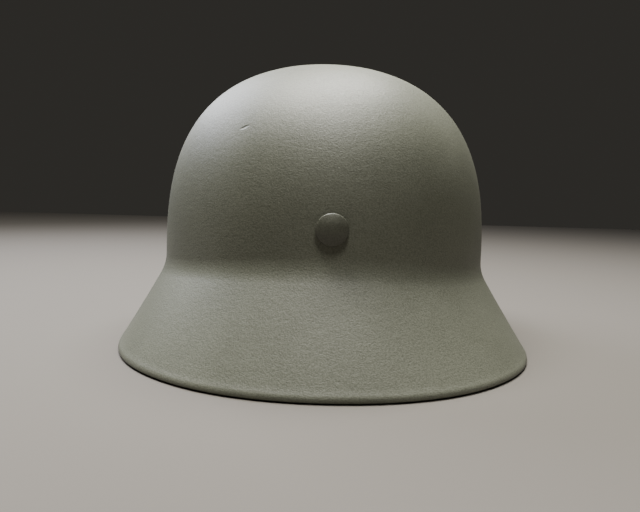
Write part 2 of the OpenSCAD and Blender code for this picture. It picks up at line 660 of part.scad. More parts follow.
module inner_band() {
    color([0.6, 0.61, 0.6]) difference() {
        oval_ring(inner_depth, band_t, inner_z, inner_h);
        for (i = [0:len(SPRINGS) - 1], s = [-1, 1])
            radial_pin(SPRINGS[i][0], turned(SPRINGS[i]) + s * foot_turn(i), rivet_height,
                       small_r + hole_gap, inner_depth - 2, inner_depth + band_t + 2);
        pin_holes();
    }
}
module spring_front() { color("lightsteelblue") spring(0); }
module spring_left_front() { color("lightsteelblue") spring(1); }
module spring_left_rear() { color("lightsteelblue") spring(2); }
module spring_right_front() { color("lightsteelblue") spring(3); }
module spring_right_rear() { color("lightsteelblue") spring(4); }
module brow_felt() {
    color([0.45, 0.42, 0.38]) difference() {
        oval_ring(felt_depth, felt_t, inner_z, inner_h);
        pin_holes();
    }
}
module leather_liner() {
    color([0.55, 0.38, 0.22]) difference() {
        leather_skin();
        pin_holes();
        lace_holes();
    }
}
module liner_pins() {
    color("silver") for (p = PINS) {
        out = inner_depth - hole_gap;
        in = leather_depth + leather_t + seat_gap;
        radial_pin(p[0], turned(p), rivet_height, small_r, out - weld, in + weld);
        radial_pin(p[0], turned(p), rivet_height, small_head_r, out - small_head_t, out);
        radial_pin(p[0], turned(p), rivet_height, small_head_r + 0.8, in, in + small_head_t);
    }
}
module bail_clip_left() { color("gray") bail_clip(-1); }
module bail_clip_right() { color("gray") bail_clip(1); }
module clip_rivets() {
    color("dimgray") for (side = [0, 180])
        small_rivet(side, 0, 0, band_t + seat_gap + clip_t + hole_gap);
}
module bail_left() { color("darkgray") bail(-1); }
module bail_right() { color("darkgray") bail(1); }
module short_strap() {
    color([0.36, 0.22, 0.12]) difference() {
        strap_half(-1, [["run", short_run], ["turn", fold_r, 180],
            ["turn", ess_r, ess_angle(fold_r)], ["turn", ess_r, -ess_angle(fold_r)], ["run", flap]]);
        stud_hole(-1);
        translate([buckle_x - prong_slot_lead, -prong_slot_w / 2, 0])
            cube([prong_slot_run, prong_slot_w, bar_z]);
    }
}
module long_strap() {
    color([0.36, 0.22, 0.12]) difference() {
        strap_half(1, [["run", long_run], ["turn", long_fold_r, 180], ["run", long_tail]]);
        stud_hole(1);
        end_trim();
        for (k = [0:hole_count - 1]) translate([tail_x - hole_first - k * hole_pitch, 0, tail_z - strap_t])
            cylinder(r = punch_r, h = 2 * strap_t, $fn = 32);
    }
}
module short_strap_stud() { color("silver") strap_stud(-1); }
module long_strap_stud() { color("silver") strap_stud(1); }
module buckle_frame() {
    color("gray") wire_frame([buckle_x, buckle_z], [buckle_x + buckle_l, buckle_z],
                             buckle_r, buckle_w, buckle_bend);
}
module buckle_prong() {
    color("silver") translate([buckle_x, 0, buckle_z]) difference() {
        union() {
            along_y(buckle_r + running + 0.9, prong_eye_w);
            translate([0, 0, prong_lift]) rotate([0, 90, 0])
                cylinder(r = prong_r, h = buckle_l + buckle_r + 0.6, $fn = 32);
        }
        along_y(buckle_r + running, prong_eye_w + 2);
    }
}

shell();
vent_bushing_left();
vent_bushing_right();
rear_rivet();
front_left_rivet();
front_right_rivet();
rear_washer();
front_left_washer();
front_right_washer();
outer_band();
inner_band();
spring_front();
spring_left_front();
spring_left_rear();
spring_right_front();
spring_right_rear();
spring_rivets();
brow_felt();
leather_liner();
liner_pins();
bail_clip_left();
bail_clip_right();
clip_rivets();
bail_left();
bail_right();
short_strap();
short_strap_stud();
buckle_frame();
buckle_prong();
long_strap();
long_strap_stud();
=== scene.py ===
import math

import bpy
import numpy as np
from mathutils import Matrix, Vector


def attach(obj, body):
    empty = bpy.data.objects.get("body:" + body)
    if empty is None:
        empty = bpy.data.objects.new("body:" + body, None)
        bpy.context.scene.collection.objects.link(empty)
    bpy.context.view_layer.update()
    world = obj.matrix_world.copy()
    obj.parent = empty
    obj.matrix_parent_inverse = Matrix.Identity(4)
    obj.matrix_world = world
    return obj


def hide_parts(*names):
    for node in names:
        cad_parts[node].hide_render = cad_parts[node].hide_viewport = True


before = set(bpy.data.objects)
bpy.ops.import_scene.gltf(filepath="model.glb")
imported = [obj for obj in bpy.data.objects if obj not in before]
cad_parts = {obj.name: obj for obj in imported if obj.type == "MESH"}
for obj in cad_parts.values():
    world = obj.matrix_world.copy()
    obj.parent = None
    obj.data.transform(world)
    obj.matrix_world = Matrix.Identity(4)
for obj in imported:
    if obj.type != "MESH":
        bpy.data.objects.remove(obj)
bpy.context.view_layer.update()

MM = 0.001

# Driving sizes of the helmet, in millimetres: the same values as the solids have
HALF_WIDTH, HALF_LENGTH, END_RADIUS = 100.0, 115.7, 86.0
CROWN = 165.0
SHEET = 1.2
SHOULDER_POWER, WALL_POWER, REAR_POWER = 2.82, 2.41, 2.56
CREASE_KEYS = ([0, 60, 90, 135, 180], [62, 54.0, 44.0, 46.5, 53.3])
REACH_KEYS = ([0, 40, 65, 90, 135, 180], [31.5, 31.5, 15, 17, 33.9, 31.5])
VISOR_LIFT, VISOR_END, EAR_START = 30.0, 33.0, 70.0
LEG_KEYS = ([0, 90, 135, 180], [9.0, 7.0, 6.0, 7.0])
ROLL_LENGTH, ROLL_THICKNESS, ROLL_PROUD = 5.8, 3.4, 0.2
VENT_ANGLE, VENT_HEIGHT, VENT_BORE, VENT_FLANGE = 80.0, 106.0, 4.2, 7.0
RIVET_HEIGHT, RIVET_HEAD, RIVET_HEAD_T = 72.0, 7.9, 2.8
RIVET_SIDE_SHARE = 0.67
STRAP_W, STRAP_T = 15.0, 2.0
# Angle from the front where the wall's fullness starts to turn, and over how many degrees
WALL_FROM, WALL_OVER = 60.0, 90.0
# Clearances: a turning fit, leather round a wire, a flat face on a curved sheet, a shank in its hole
RUNNING, SOFT_GAP, SEAT_GAP, HOLE_GAP = 0.06, 0.3, 0.35, 0.1


def keyed(keys, x):
    """Cubic Hermite curve through (angle, value) keys, level at both ends."""
    at, value = np.array(keys[0], float), np.array(keys[1], float)
    slope = np.zeros(len(at))
    slope[1:-1] = (value[2:] - value[:-2]) / (at[2:] - at[:-2])
    i = np.clip(np.searchsorted(at, x, side="left") - 1, 0, len(at) - 2)
    h = at[i + 1] - at[i]
    t = (x - at[i]) / h
    return ((2 * t**3 - 3 * t**2 + 1) * value[i] + (t**3 - 2 * t**2 + t) * slope[i] * h
            + (3 * t**2 - 2 * t**3) * value[i + 1] + (t**3 - t**2) * slope[i + 1] * h)


def smooth(t):
    """3t^2 - 2t^3 between 0 and 1, level outside."""
    t = np.clip(t, 0, 1)
    return t * t * (3 - 2 * t)


def folded(a):
    """Angle from the front, 0 to 180 degrees, the same on both sides."""
    return np.abs((a + 180) % 360 - 180)


def oval(a, half_width, half_length, end_radius):
    """Radius of a four-arc oval: end arcs about (0, cy), side arcs about (cx, 0), met along a ray."""
    cy = half_length - end_radius
    side = (cy**2 + half_width**2 - end_radius**2) / (2 * (half_width - end_radius))
    cx = side - half_width
    meet = math.atan2(cy, cx)
    turn = math.atan2(side * math.cos(meet) - cx, side * math.sin(meet))
    s, c = np.abs(np.sin(np.radians(a))), np.abs(np.cos(np.radians(a)))
    end = c * cy + np.sqrt(np.maximum((c * cy)**2 - cy**2 + end_radius**2, 0))
    flank = -s * cx + np.sqrt((s * cx)**2 - cx**2 + side**2)
    return np.where(np.arctan2(s, c) < turn, end, flank)


def plan(a):
    """Outside radius of the dome's foot at an angle from the front."""
    return oval(a, HALF_WIDTH, HALF_LENGTH, END_RADIUS)


def crease(a):
    """Height of the crease, from its keys."""
    return keyed(CREASE_KEYS, folded(a))


def reach(a):
    """How far the skirt stands out beyond the dome, from its keys."""
    return keyed(REACH_KEYS, folded(a))


def leg(a):
    """Length of the blend on each side of the crease, from its keys."""
    return keyed(LEG_KEYS, folded(a))


def rim(a):
    """Height of the edge: the visor's lift falls away in one smooth step at the temple."""
    return VISOR_LIFT * (1 - smooth((folded(a) - VISOR_END) / (EAR_START - VISOR_END)))


def wall(a):
    """Fullness of the wall: the sides' power, turning evenly into the rear's."""
    return WALL_POWER + (REAR_POWER - WALL_POWER) * np.clip((folded(a) - WALL_FROM) / WALL_OVER, 0, 1)


def dome_radius(a, z):
    """Plan radius times the share sqrt(1 - up^2)^(2/wall), where up is the height's own power."""
    up = np.clip((z - crease(a)) / (CROWN - crease(a)), 0, 1) ** (SHOULDER_POWER / 2)
    return plan(a) * np.sqrt(1 - up**2) ** (2 / wall(a))


def on_dome(a, z):
    """The point of the dome at an angle from the front and a height."""
    r = dome_radius(a, z)
    return np.array([r * math.sin(math.radians(a)), r * math.cos(math.radians(a)), z])


def dome_normal(a, z):
    """Cross product of the steps up and round the dome, turned outwards."""
    n = np.cross(on_dome(a, z + 1) - on_dome(a, z - 1), on_dome(a + 1, z) - on_dome(a - 1, z))
    n = n if n @ on_dome(a, z) > 0 else -n
    return n / np.linalg.norm(n)


def hex_colour(code):
    """An sRGB hex value as linear RGBA."""
    channels = [int(code[i:i + 2], 16) / 255 for i in (1, 3, 5)]
    return tuple(c / 12.92 if c <= 0.04045 else ((c + 0.055) / 1.055) ** 2.4 for c in channels) + (1.0,)


SHARP_ANGLE = math.radians(38)


def solid_mesh(name, points, faces):
    """A mesh of metre points whose faces look outwards: they are turned if the volume is negative."""
    points = np.asarray(points, float)
    corners = np.array([(f[0], f[k], f[k + 1]) for f in faces for k in range(1, len(f) - 1)])
    first, second, third = (points[corners[:, i]] for i in range(3))
    if np.einsum("ij,ij->", first, np.cross(second, third)) < 0:
        faces = [list(face)[::-1] for face in faces]
    mesh = bpy.data.meshes.new(name)
    mesh.from_pydata(points.tolist(), [], faces)
    mesh.validate()
    return mesh


def make_piece(name, points, faces, body, material):
    """A mesh piece from metre points and faces that rides on a body, smooth but for its sharp edges."""
    mesh = solid_mesh(name, points, faces)
    mesh.polygons.foreach_set("use_smooth", np.ones(len(mesh.polygons), bool))
    mesh.set_sharp_from_angle(angle=SHARP_ANGLE)
    piece = bpy.data.objects.new(name, mesh)
    bpy.context.scene.collection.objects.link(piece)
    mesh.materials.append(material)
    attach(piece, body)
    return piece


def grid_quads(rows, columns, wrap_rows, wrap_columns):
    """Quads of a rows by columns grid of points, wrapped where asked."""
    i = np.arange(rows if wrap_rows else rows - 1)[:, None]
    j = np.arange(columns if wrap_columns else columns - 1)[None, :]
    a, b = i * columns + j, i * columns + (j + 1) % columns
    c, d = (i + 1) % rows * columns + (j + 1) % columns, (i + 1) % rows * columns + j
    return np.stack([a + 0 * b, d + 0 * b, c, b + 0 * a], -1).reshape(-1, 4)


# Materials


def per_mm(size):
    """Noise scale that gives features of a size in millimetres on metre coordinates."""
    return 1 / (size * MM)


def feed(tree, node, inputs):
    """Gives each socket its value, or links it to the socket that feeds it."""
    for socket, value in inputs.items():
        if isinstance(value, bpy.types.NodeSocket):
            tree.links.new(value, node.inputs[socket])
        else:
            node.inputs[socket].default_value = value


def add(tree, kind, inputs, out=0, stops=(), **settings):
    """Adds a node with its settings, feeds its sockets and returns one of its outputs.
    Stops are (place, hex colour) pairs along a colour ramp."""
    made = tree.nodes.new("ShaderNode" + kind)
    for key, value in settings.items():
        setattr(made, key, value)
    if stops:
        elements = made.color_ramp.elements
        while len(elements) < len(stops):
            elements.new(0.5)
        for element, (place, code) in zip(elements, stops):
            element.position = place
            element.color = hex_colour(code)
    feed(tree, made, inputs)
    return made.outputs[out]


def new_material(name):
    """A material with its tree, its shader and its object coordinates."""
    made = bpy.data.materials.new(name)
    made.use_nodes = True
    tree = made.node_tree
    return made, tree, tree.nodes["Principled BSDF"], add(tree, "TexCoord", {}, out="Object")


# A small nick in the enamel on the left of the dome: its place, turn and half sizes
NICK_PLACE = tuple(v * MM for v in (-43.8, -89.8, 120.0))
NICK_TURN = (0.0, math.radians(-20), math.radians(-36))
NICK_SIZE = tuple(v * MM for v in (3.2, 2.0, 1.0))


def matt_enamel(name, dark, light, peel_share, rough):
    """Phosphated steel under sprayed matt enamel: a clouded grey-green with fine dark grain, orange peel
    over low runs, a few pits, one nick and pale specks of dust. It scatters light and shines little.
    The droplets of the spray are finer than the 0.8 mm of the grain here, which is coarse to show."""
    made, tree, shader, place = new_material(name)
    cloud = add(tree, "TexNoise", {"Vector": place, "Scale": per_mm(55), "Detail": 3.0})
    tone = add(tree, "ValToRGB", {"Fac": cloud}, stops=((0.3, dark), (0.7, light)))
    grain_place = add(tree, "Mapping", {"Vector": place, "Scale": (1, 1, 1.3)})
    grain = add(tree, "TexNoise", {"Vector": grain_place, "Scale": per_mm(0.8), "Detail": 3.0,
                                   "Roughness": 0.6})
    speck = add(tree, "ValToRGB", {"Fac": grain}, stops=((0.36, "#b2b2aa"), (0.58, "#ffffff")))
    colour = add(tree, "Mix", {0: 0.6, 6: tone, 7: speck}, out=2, data_type="RGBA", blend_type="MULTIPLY")
    dust = add(tree, "TexVoronoi", {"Vector": place, "Scale": per_mm(24.0)})
    dusty = add(tree, "MapRange", {"Value": dust, "From Min": 0.008, "From Max": 0.014,
                                   "To Min": 0.8, "To Max": 0.0})
    colour = add(tree, "Mix", {0: dusty, 6: colour, 7: hex_colour("#c4c4ba")}, out=2, data_type="RGBA")

    run_place = add(tree, "Mapping", {"Vector": place, "Scale": (1, 1, 2.2)})
    run = add(tree, "TexNoise", {"Vector": run_place, "Scale": per_mm(7)})
    peel_place = add(tree, "Mapping", {"Vector": place, "Scale": (1, 1, 1.5)})
    peel = add(tree, "TexNoise", {"Vector": peel_place, "Scale": per_mm(1.5)})
    pit = add(tree, "TexVoronoi", {"Vector": place, "Scale": per_mm(7.0)})
    pit = add(tree, "MapRange", {"Value": pit, "From Max": 0.10})
    nick_place = add(tree, "Mapping", {"Vector": place, "Location": NICK_PLACE, "Rotation": NICK_TURN,
                                       "Scale": NICK_SIZE}, vector_type="TEXTURE")
    nick = add(tree, "TexGradient", {"Vector": nick_place}, out="Fac", gradient_type="SPHERICAL")
    nick = add(tree, "MapRange", {"Value": nick, "From Max": 0.8, "To Min": 1.0, "To Max": 0.0})
    relief = add(tree, "Bump", {"Height": run, "Strength": peel_share, "Distance": 0.07 * MM})
    for height, strength, depth in ((peel, peel_share, 0.085), (grain, peel_share, 0.14),
                                    (pit, 0.5, 0.10), (nick, 1.0, 0.35)):
        relief = add(tree, "Bump", {"Height": height, "Strength": strength, "Distance": depth * MM,
                                    "Normal": relief})
    feed(tree, shader, {"Base Color": colour, "Roughness": rough, "IOR": 1.5, "Normal": relief})
    return made


def plated_steel(name, light, dark, stain, rough):
    """Dull plated strip steel: fine rolling lines along the strip, a cloudy tarnish, brown specks.
    It mirrors broadly, like zinc gone dull. The lines are drawn far coarser than real ones, to show."""
    made, tree, shader, place = new_material(name)
    cloud = add(tree, "TexNoise", {"Vector": place, "Scale": per_mm(14), "Detail": 3.0})
    tone = add(tree, "ValToRGB", {"Fac": cloud}, stops=((0.32, dark), (0.66, light)))
    spot = add(tree, "TexNoise", {"Vector": place, "Scale": per_mm(3.2), "Detail": 5.0, "Roughness": 0.7})
    spot = add(tree, "MapRange", {"Value": spot, "From Min": 0.60, "From Max": 0.70, "To Max": 0.75})
    colour = add(tree, "Mix", {0: spot, 6: tone, 7: hex_colour(stain)}, out=2, data_type="RGBA")
    dull = add(tree, "MapRange", {"Value": cloud, "From Min": 0.3, "From Max": 0.7,
                                  "To Min": rough + 0.1, "To Max": rough - 0.06})
    line_place = add(tree, "Mapping", {"Vector": place, "Scale": (1, 1, 22)})
    line = add(tree, "TexNoise", {"Vector": line_place, "Scale": per_mm(6), "Detail": 3.0})
    relief = add(tree, "Bump", {"Height": line, "Strength": 0.25, "Distance": 0.04 * MM})
    relief = add(tree, "Bump", {"Height": spot, "Strength": 0.3, "Distance": 0.03 * MM, "Normal": relief})
    feed(tree, shader, {"Base Color": colour, "Roughness": dull, "Metallic": 0.85, "Normal": relief})
    return made


def drawn_wire(name, light, dark, rough):
    """Drawn and turned metal fittings: smooth, with dark handling marks and a soft metallic shine.
    The skin left by the die is drawn at 0.7 mm, coarser than a real one, to show."""
    made, tree, shader, place = new_material(name)
    mark = add(tree, "TexNoise", {"Vector": place, "Scale": per_mm(5), "Detail": 4.0, "Roughness": 0.6})
    tone = add(tree, "ValToRGB", {"Fac": mark}, stops=((0.34, dark), (0.6, light)))
    dull = add(tree, "MapRange", {"Value": mark, "From Min": 0.3, "From Max": 0.7,
                                  "To Min": rough + 0.12, "To Max": rough - 0.05})
    skin = add(tree, "TexNoise", {"Vector": place, "Scale": per_mm(0.7), "Detail": 3.0})
    relief = add(tree, "Bump", {"Height": skin, "Strength": 0.25, "Distance": 0.03 * MM})
    feed(tree, shader, {"Base Color": tone, "Roughness": dull, "Metallic": 0.95, "Normal": relief})
    return made


def grey_felt():
    """Pressed wool felt: matted fibres in all directions, flecked grey, soft at the edge, no gloss.
    The fibres are drawn about 1 mm apart, many times their real spacing, to show."""
    made, tree, shader, place = new_material("pressed_wool_felt")
    level_place = add(tree, "Mapping", {"Vector": place, "Scale": (1, 1, 3)})
    level = add(tree, "TexNoise", {"Vector": level_place, "Scale": per_mm(0.9), "Detail": 5.0,
                                   "Roughness": 0.75})
    upright_place = add(tree, "Mapping", {"Vector": place, "Scale": (3, 3, 1)})
    upright = add(tree, "TexNoise", {"Vector": upright_place, "Scale": per_mm(1.1), "Detail": 5.0,
                                     "Roughness": 0.75})
    fleck = add(tree, "ValToRGB", {"Fac": level},
                stops=((0.3, "#57524a"), (0.5, "#7b766c"), (0.72, "#a19b8f")))
    other = add(tree, "ValToRGB", {"Fac": upright}, stops=((0.35, "#5f5a50"), (0.65, "#938d80")))
    colour = add(tree, "Mix", {0: 0.35, 6: fleck, 7: other}, out=2, data_type="RGBA")
    relief = add(tree, "Bump", {"Height": upright, "Strength": 0.6, "Distance": 0.2 * MM})
    relief = add(tree, "Bump", {"Height": level, "Strength": 0.8, "Distance": 0.25 * MM, "Normal": relief})
    feed(tree, shader, {"Base Color": colour, "Roughness": 0.97, "Sheen Weight": 0.35,
                        "Specular IOR Level": 0.15, "Normal": relief})
    return made


def tanned_leather():
    """Vegetable-tanned liner leather: tan with darker handled patches, fine pores, soft creases.
    It shines a little where hands have been. The pores are drawn at 0.9 mm, some three times too large."""
    made, tree, shader, place = new_material("tanned_liner_leather")
    patch = add(tree, "TexNoise", {"Vector": place, "Scale": per_mm(38), "Detail": 3.0})
    tone = add(tree, "ValToRGB", {"Fac": patch},
               stops=((0.3, "#6d4526"), (0.5, "#8f623b"), (0.72, "#a97c50")))
    mottle = add(tree, "TexNoise", {"Vector": place, "Scale": per_mm(2.6), "Detail": 4.0, "Roughness": 0.65})
    mottle = add(tree, "ValToRGB", {"Fac": mottle}, stops=((0.36, "#b9a48e"), (0.6, "#ffffff")))
    colour = add(tree, "Mix", {0: 0.8, 6: tone, 7: mottle}, out=2, data_type="RGBA", blend_type="MULTIPLY")
    dull = add(tree, "MapRange", {"Value": patch, "From Min": 0.3, "From Max": 0.7,
                                  "To Min": 0.52, "To Max": 0.68})
    pore = add(tree, "TexVoronoi", {"Vector": place, "Scale": per_mm(0.9)})
    fold = add(tree, "TexVoronoi", {"Vector": place, "Scale": per_mm(3.4)}, feature="DISTANCE_TO_EDGE")
    fold = add(tree, "MapRange", {"Value": fold, "From Max": 0.09})
    swell = add(tree, "TexNoise", {"Vector": place, "Scale": per_mm(9), "Detail": 3.0})
    relief = add(tree, "Bump", {"Height": pore, "Strength": 0.35, "Distance": 0.12 * MM})
    relief = add(tree, "Bump", {"Height": fold, "Strength": 0.22, "Distance": 0.1 * MM, "Normal": relief})
    relief = add(tree, "Bump", {"Height": swell, "Strength": 0.3, "Distance": 0.7 * MM, "Normal": relief})
    feed(tree, shader, {"Base Color": colour, "Roughness": dull, "Normal": relief})
    return made


def waxed_leather():
    """Dark waxed strap leather: tight grain, a creased line inside each edge, burnished dark edges.
    The edges shine most. The grain is drawn at 0.8 mm, coarser than a real one, to show."""
    made, tree, shader, place = new_material("waxed_strap_leather")
    across = add(tree, "SeparateXYZ", {"Vector": place}, out="Y")
    across = add(tree, "Math", {0: across}, operation="ABSOLUTE")
    edge = add(tree, "MapRange", {"Value": across, "From Min": (STRAP_W / 2 - 0.9) * MM,
                                  "From Max": (STRAP_W / 2 - 0.2) * MM})
    line = add(tree, "Math", {0: across, 1: (STRAP_W / 2 - 1.9) * MM}, operation="SUBTRACT")
    line = add(tree, "Math", {0: line}, operation="ABSOLUTE")
    line = add(tree, "MapRange", {"Value": line, "From Max": 0.35 * MM})
    stain = add(tree, "TexNoise", {"Vector": place, "Scale": per_mm(16), "Detail": 4.0, "Roughness": 0.6})
    tone = add(tree, "ValToRGB", {"Fac": stain},
               stops=((0.3, "#2d1a10"), (0.55, "#45291a"), (0.75, "#5d3a24")))
    rub = add(tree, "TexNoise", {"Vector": place, "Scale": per_mm(3.5), "Detail": 4.0, "Roughness": 0.7})
    rub = add(tree, "MapRange", {"Value": rub, "From Min": 0.56, "From Max": 0.72, "To Max": 0.55})
    colour = add(tree, "Mix", {0: rub, 6: tone, 7: hex_colour("#7a5233")}, out=2, data_type="RGBA")
    colour = add(tree, "Mix", {0: edge, 6: colour, 7: hex_colour("#1c110b")}, out=2, data_type="RGBA")
    dull = add(tree, "MapRange", {"Value": edge, "To Min": 0.46, "To Max": 0.3})
    grain = add(tree, "TexVoronoi", {"Vector": place, "Scale": per_mm(0.8)})
    swell = add(tree, "TexNoise", {"Vector": place, "Scale": per_mm(5), "Detail": 3.0})
    relief = add(tree, "Bump", {"Height": grain, "Strength": 0.3, "Distance": 0.08 * MM})
    relief = add(tree, "Bump", {"Height": line, "Strength": 0.6, "Distance": 0.3 * MM, "Normal": relief})
    relief = add(tree, "Bump", {"Height": swell, "Strength": 0.25, "Distance": 0.4 * MM, "Normal": relief})
    feed(tree, shader, {"Base Color": colour, "Roughness": dull, "Normal": relief})
    return made


ENAMEL = matt_enamel("matt_enamel_on_phosphated_steel", "#5f6154", "#696b5e", 1.0, 0.52)
FITTING_ENAMEL = matt_enamel("matt_enamel_on_rivet_heads", "#4c4d44", "#57584d", 0.6, 0.38)
ZINC_STRIP = plated_steel("dull_zinc_plate", "#9a9b97", "#6f706c", "#5b4330", 0.5)
DARK_STEEL = plated_steel("phosphated_small_steel", "#5c5a57", "#3e3c3a", "#4a3223", 0.55)
BLUED_SPRING = drawn_wire("blued_spring_steel", "#4a525f", "#2b3038", 0.38)
PLATED_WIRE = drawn_wire("dull_nickel_plate", "#a5a39b", "#77756e", 0.36)
DULL_ALUMINIUM = drawn_wire("dull_aluminium", "#b9b9b6", "#8c8c89", 0.42)
FELT = grey_felt()
LINER_LEATHER = tanned_leather()
STRAP_LEATHER = waxed_leather()


# Shell

SHELL_COLUMNS = 300
DOME_ROWS, BLEND_ROWS, FLARE_ROWS = 56, 14, 14
# Share of the bead's length, up from its middle, where the sheet's outside runs into it
FOOT_SHARE = 0.62
# Angles of the bead's rows from its lower end, and the two ends of its level edge
BEAD_OUTSIDE = (112, 98, 84, 70, 56, 42, 28)
BEAD_INSIDE = (-58, -74, -90, -106, -122, -136, -148)
EDGE_OUT, EDGE_IN = 0.7, -0.5


def dome_rows(a, rows):
    """Superellipse from below the crown to the foot of the wall: r and z for each row and angle."""
    top = CROWN - crease(a)
    last = np.arccos((leg(a) / top) ** (SHOULDER_POWER / 2))
    p = last * np.linspace(1 / rows, 1, rows)[:, None]
    return plan(a) * np.sin(p) ** (2 / wall(a)), crease(a) + top * np.cos(p) ** (2 / SHOULDER_POWER)


def bead_frame(a):
    """Centre, direction down the flare and outward direction of the rolled rim, as (r, z) pairs.
    The centre stands back from the rim's reach and height by what the tilted oval itself reaches."""
    d = np.stack([reach(a), rim(a) - crease(a)])
    d = d / np.linalg.norm(d, axis=0)
    length, thick = ROLL_LENGTH / 2, ROLL_THICKNESS / 2
    centre = np.stack([plan(a) + reach(a) - np.hypot(length * d[0], thick * d[1]),
                       rim(a) + np.hypot(length * d[1], thick * d[0])])
    return centre, d, np.stack([-d[1], d[0]])


def outside_rows(a):
    """Dome, quadratic Bezier blend at the crease, and straight flare down to the bead."""
    r, z = dome_rows(a, DOME_ROWS)
    centre, d, n = bead_frame(a)
    foot = centre - d * ROLL_LENGTH * FOOT_SHARE + n * (ROLL_THICKNESS / 2 - ROLL_PROUD)
    corner = np.stack([plan(a), crease(a)])
    run = foot - corner
    end = corner + leg(a) * run / np.linalg.norm(run, axis=0)
    start = np.stack([r[-1], z[-1]])
    t = np.linspace(0, 1, BLEND_ROWS + 1)[1:, None, None]
    blend = (1 - t)**2 * start + 2 * t * (1 - t) * corner + t**2 * end
    s = np.linspace(0, 1, FLARE_ROWS + 1)[1:, None, None]
    flare = end + (foot - end) * s
    return np.concatenate([np.stack([r, z], 1), blend, flare])


def bead_rows(a):
    """An oval section long along the flare, from the sheet outside, under the edge, to the inner lip."""
    centre, d, n = bead_frame(a)
    length, thick = ROLL_LENGTH / 2, ROLL_THICKNESS / 2

    def around(w):
        """The oval's point at w degrees: cosine along the flare, sine outwards."""
        return centre + d * length * math.cos(math.radians(w)) + n * thick * math.sin(math.radians(w))

    edge = [np.stack([centre[0] + step, rim(a)]) for step in (EDGE_OUT, EDGE_IN)]
    rows = [around(w) for w in BEAD_OUTSIDE] + edge + [around(w) for w in BEAD_INSIDE]
    return np.stack(rows)


def inset_rows(rows, depth):
    """Rows moved inwards by a depth, square to the section."""
    before = np.concatenate([[[0 * rows[0, 0], 0 * rows[0, 0] + CROWN]], rows[:-1]])
    after = np.concatenate([rows[1:], rows[-1:]])
    d = after - before
    d = d / np.linalg.norm(d, axis=1, keepdims=True)
    return rows - depth * np.stack([-d[:, 1], d[:, 0]], 1)


def shell_points():
    """The whole closed skin: outside, bead, inside, each ring turned about the upright axis."""
    a = np.arange(SHELL_COLUMNS) * 360 / SHELL_COLUMNS
    outside = outside_rows(a)
    inside = inset_rows(outside, SHEET)[-3::-1]
    rows = np.concatenate([outside, bead_rows(a), inside])
    s, c = np.sin(np.radians(a)), np.cos(np.radians(a))
    ring = np.stack([rows[:, 0] * s, rows[:, 0] * c, rows[:, 1]], -1)
    return ring * MM


def capped_grid(ring, first, last):
    """Points and faces of rings closed round, with a fan to a point at each end."""
    rows, columns = ring.shape[:2]
    points = np.concatenate([ring.reshape(-1, 3), [first, last]])
    j = np.arange(columns)
    k = (j + 1) % columns
    top = np.stack([j, k, 0 * j + rows * columns], -1)
    foot = (rows - 1) * columns
    bottom = np.stack([foot + k, foot + j, 0 * j + rows * columns + 1], -1)
    return points, grid_quads(rows, columns, False, True).tolist() + top.tolist() + bottom.tolist()


def shell():
    """The shell's skin, closed at the crown outside and inside."""
    points, faces = capped_grid(shell_points(), (0, 0, CROWN * MM), (0, 0, (CROWN - SHEET) * MM))
    piece = make_piece("pressed_shell", points, faces, "helmet", ENAMEL)
    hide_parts("shell")
    return piece


# Round fittings


def lathe(profile, sides, closed):
    """Points and faces of a profile of (radius, height) turned about the upright axis.
    A closed profile comes round to itself; an open one has its first and last radius at zero."""
    r, h = np.array(profile, float).T
    w = np.arange(sides) * 2 * math.pi / sides
    ring = np.stack([r[:, None] * np.cos(w), r[:, None] * np.sin(w), h[:, None] + 0 * w], -1)
    if closed:
        return ring.reshape(-1, 3), grid_quads(len(profile), sides, True, True).tolist()
    return capped_grid(ring[1:-1], ring[0, 0], ring[-1, 0])


def arc(centre, radius, start, end, steps):
    """(x, y) points on a circular arc, angles in degrees."""
    w = np.radians(np.linspace(start, end, steps))
    return [(centre[0] + radius * math.cos(v), centre[1] + radius * math.sin(v)) for v in w]


def joined(parts):
    """Several (points, faces) as one."""
    points, faces, first = [], [], 0
    for part_points, part_faces in parts:
        points.append(np.asarray(part_points, float))
        faces += [[first + v for v in face] for face in part_faces]
        first += len(part_points)
    return np.concatenate(points), faces


def moved(points, origin, along):
    """Local points, whose z runs outwards along a direction and whose x stays level, set at an origin."""
    z = np.array(along, float) / np.linalg.norm(along)
    x = np.cross((0, 0, 1), z) if abs(z[2]) < 0.999 else np.array([1.0, 0, 0])
    x = x / np.linalg.norm(x)
    return points @ np.stack([x, np.cross(z, x), z]) + np.array(origin, float)


def sweep(path, across, out, section):
    """A closed bar: a section of (across, out) points carried along a path, with a fan at each end."""
    path, across, out = (np.asarray(v, float) for v in (path, across, out))
    section = np.array(section, float)
    ring = (path[:, None] + section[None, :, :1] * across[:, None]
            + section[None, :, 1:] * out[:, None])
    return capped_grid(ring, path[0], path[-1])


def round_box(width, thick, radius, steps=4):
    """Section of a flat bar with rounded edges, anticlockwise."""
    w, t = width / 2 - radius, thick / 2 - radius
    return [p for x, y, start in ((w, t, 0), (-w, t, 90), (-w, -t, 180), (w, -t, 270))
            for p in arc((x, y), radius, start, start + 90, steps)]


# Liner stations: the outer band's oval has a side arc and an end arc, each with its centre

BAND_Z, BAND_H, BAND_T, BAND_CLEAR = 62.0, 20.0, 1.0, 1.0
BAND_TOP = BAND_Z + BAND_H
BAND_HW = float(dome_radius(90.0, BAND_TOP)) - SHEET - BAND_CLEAR
BAND_HL = float(dome_radius(180.0, BAND_TOP)) - SHEET - BAND_CLEAR
BAND_ER = END_RADIUS - (HALF_LENGTH - BAND_HL)
BAND_CY = BAND_HL - BAND_ER
BAND_SR = (BAND_CY**2 + BAND_HW**2 - BAND_ER**2) / (2 * (BAND_HW - BAND_ER))
BAND_CX = BAND_SR - BAND_HW
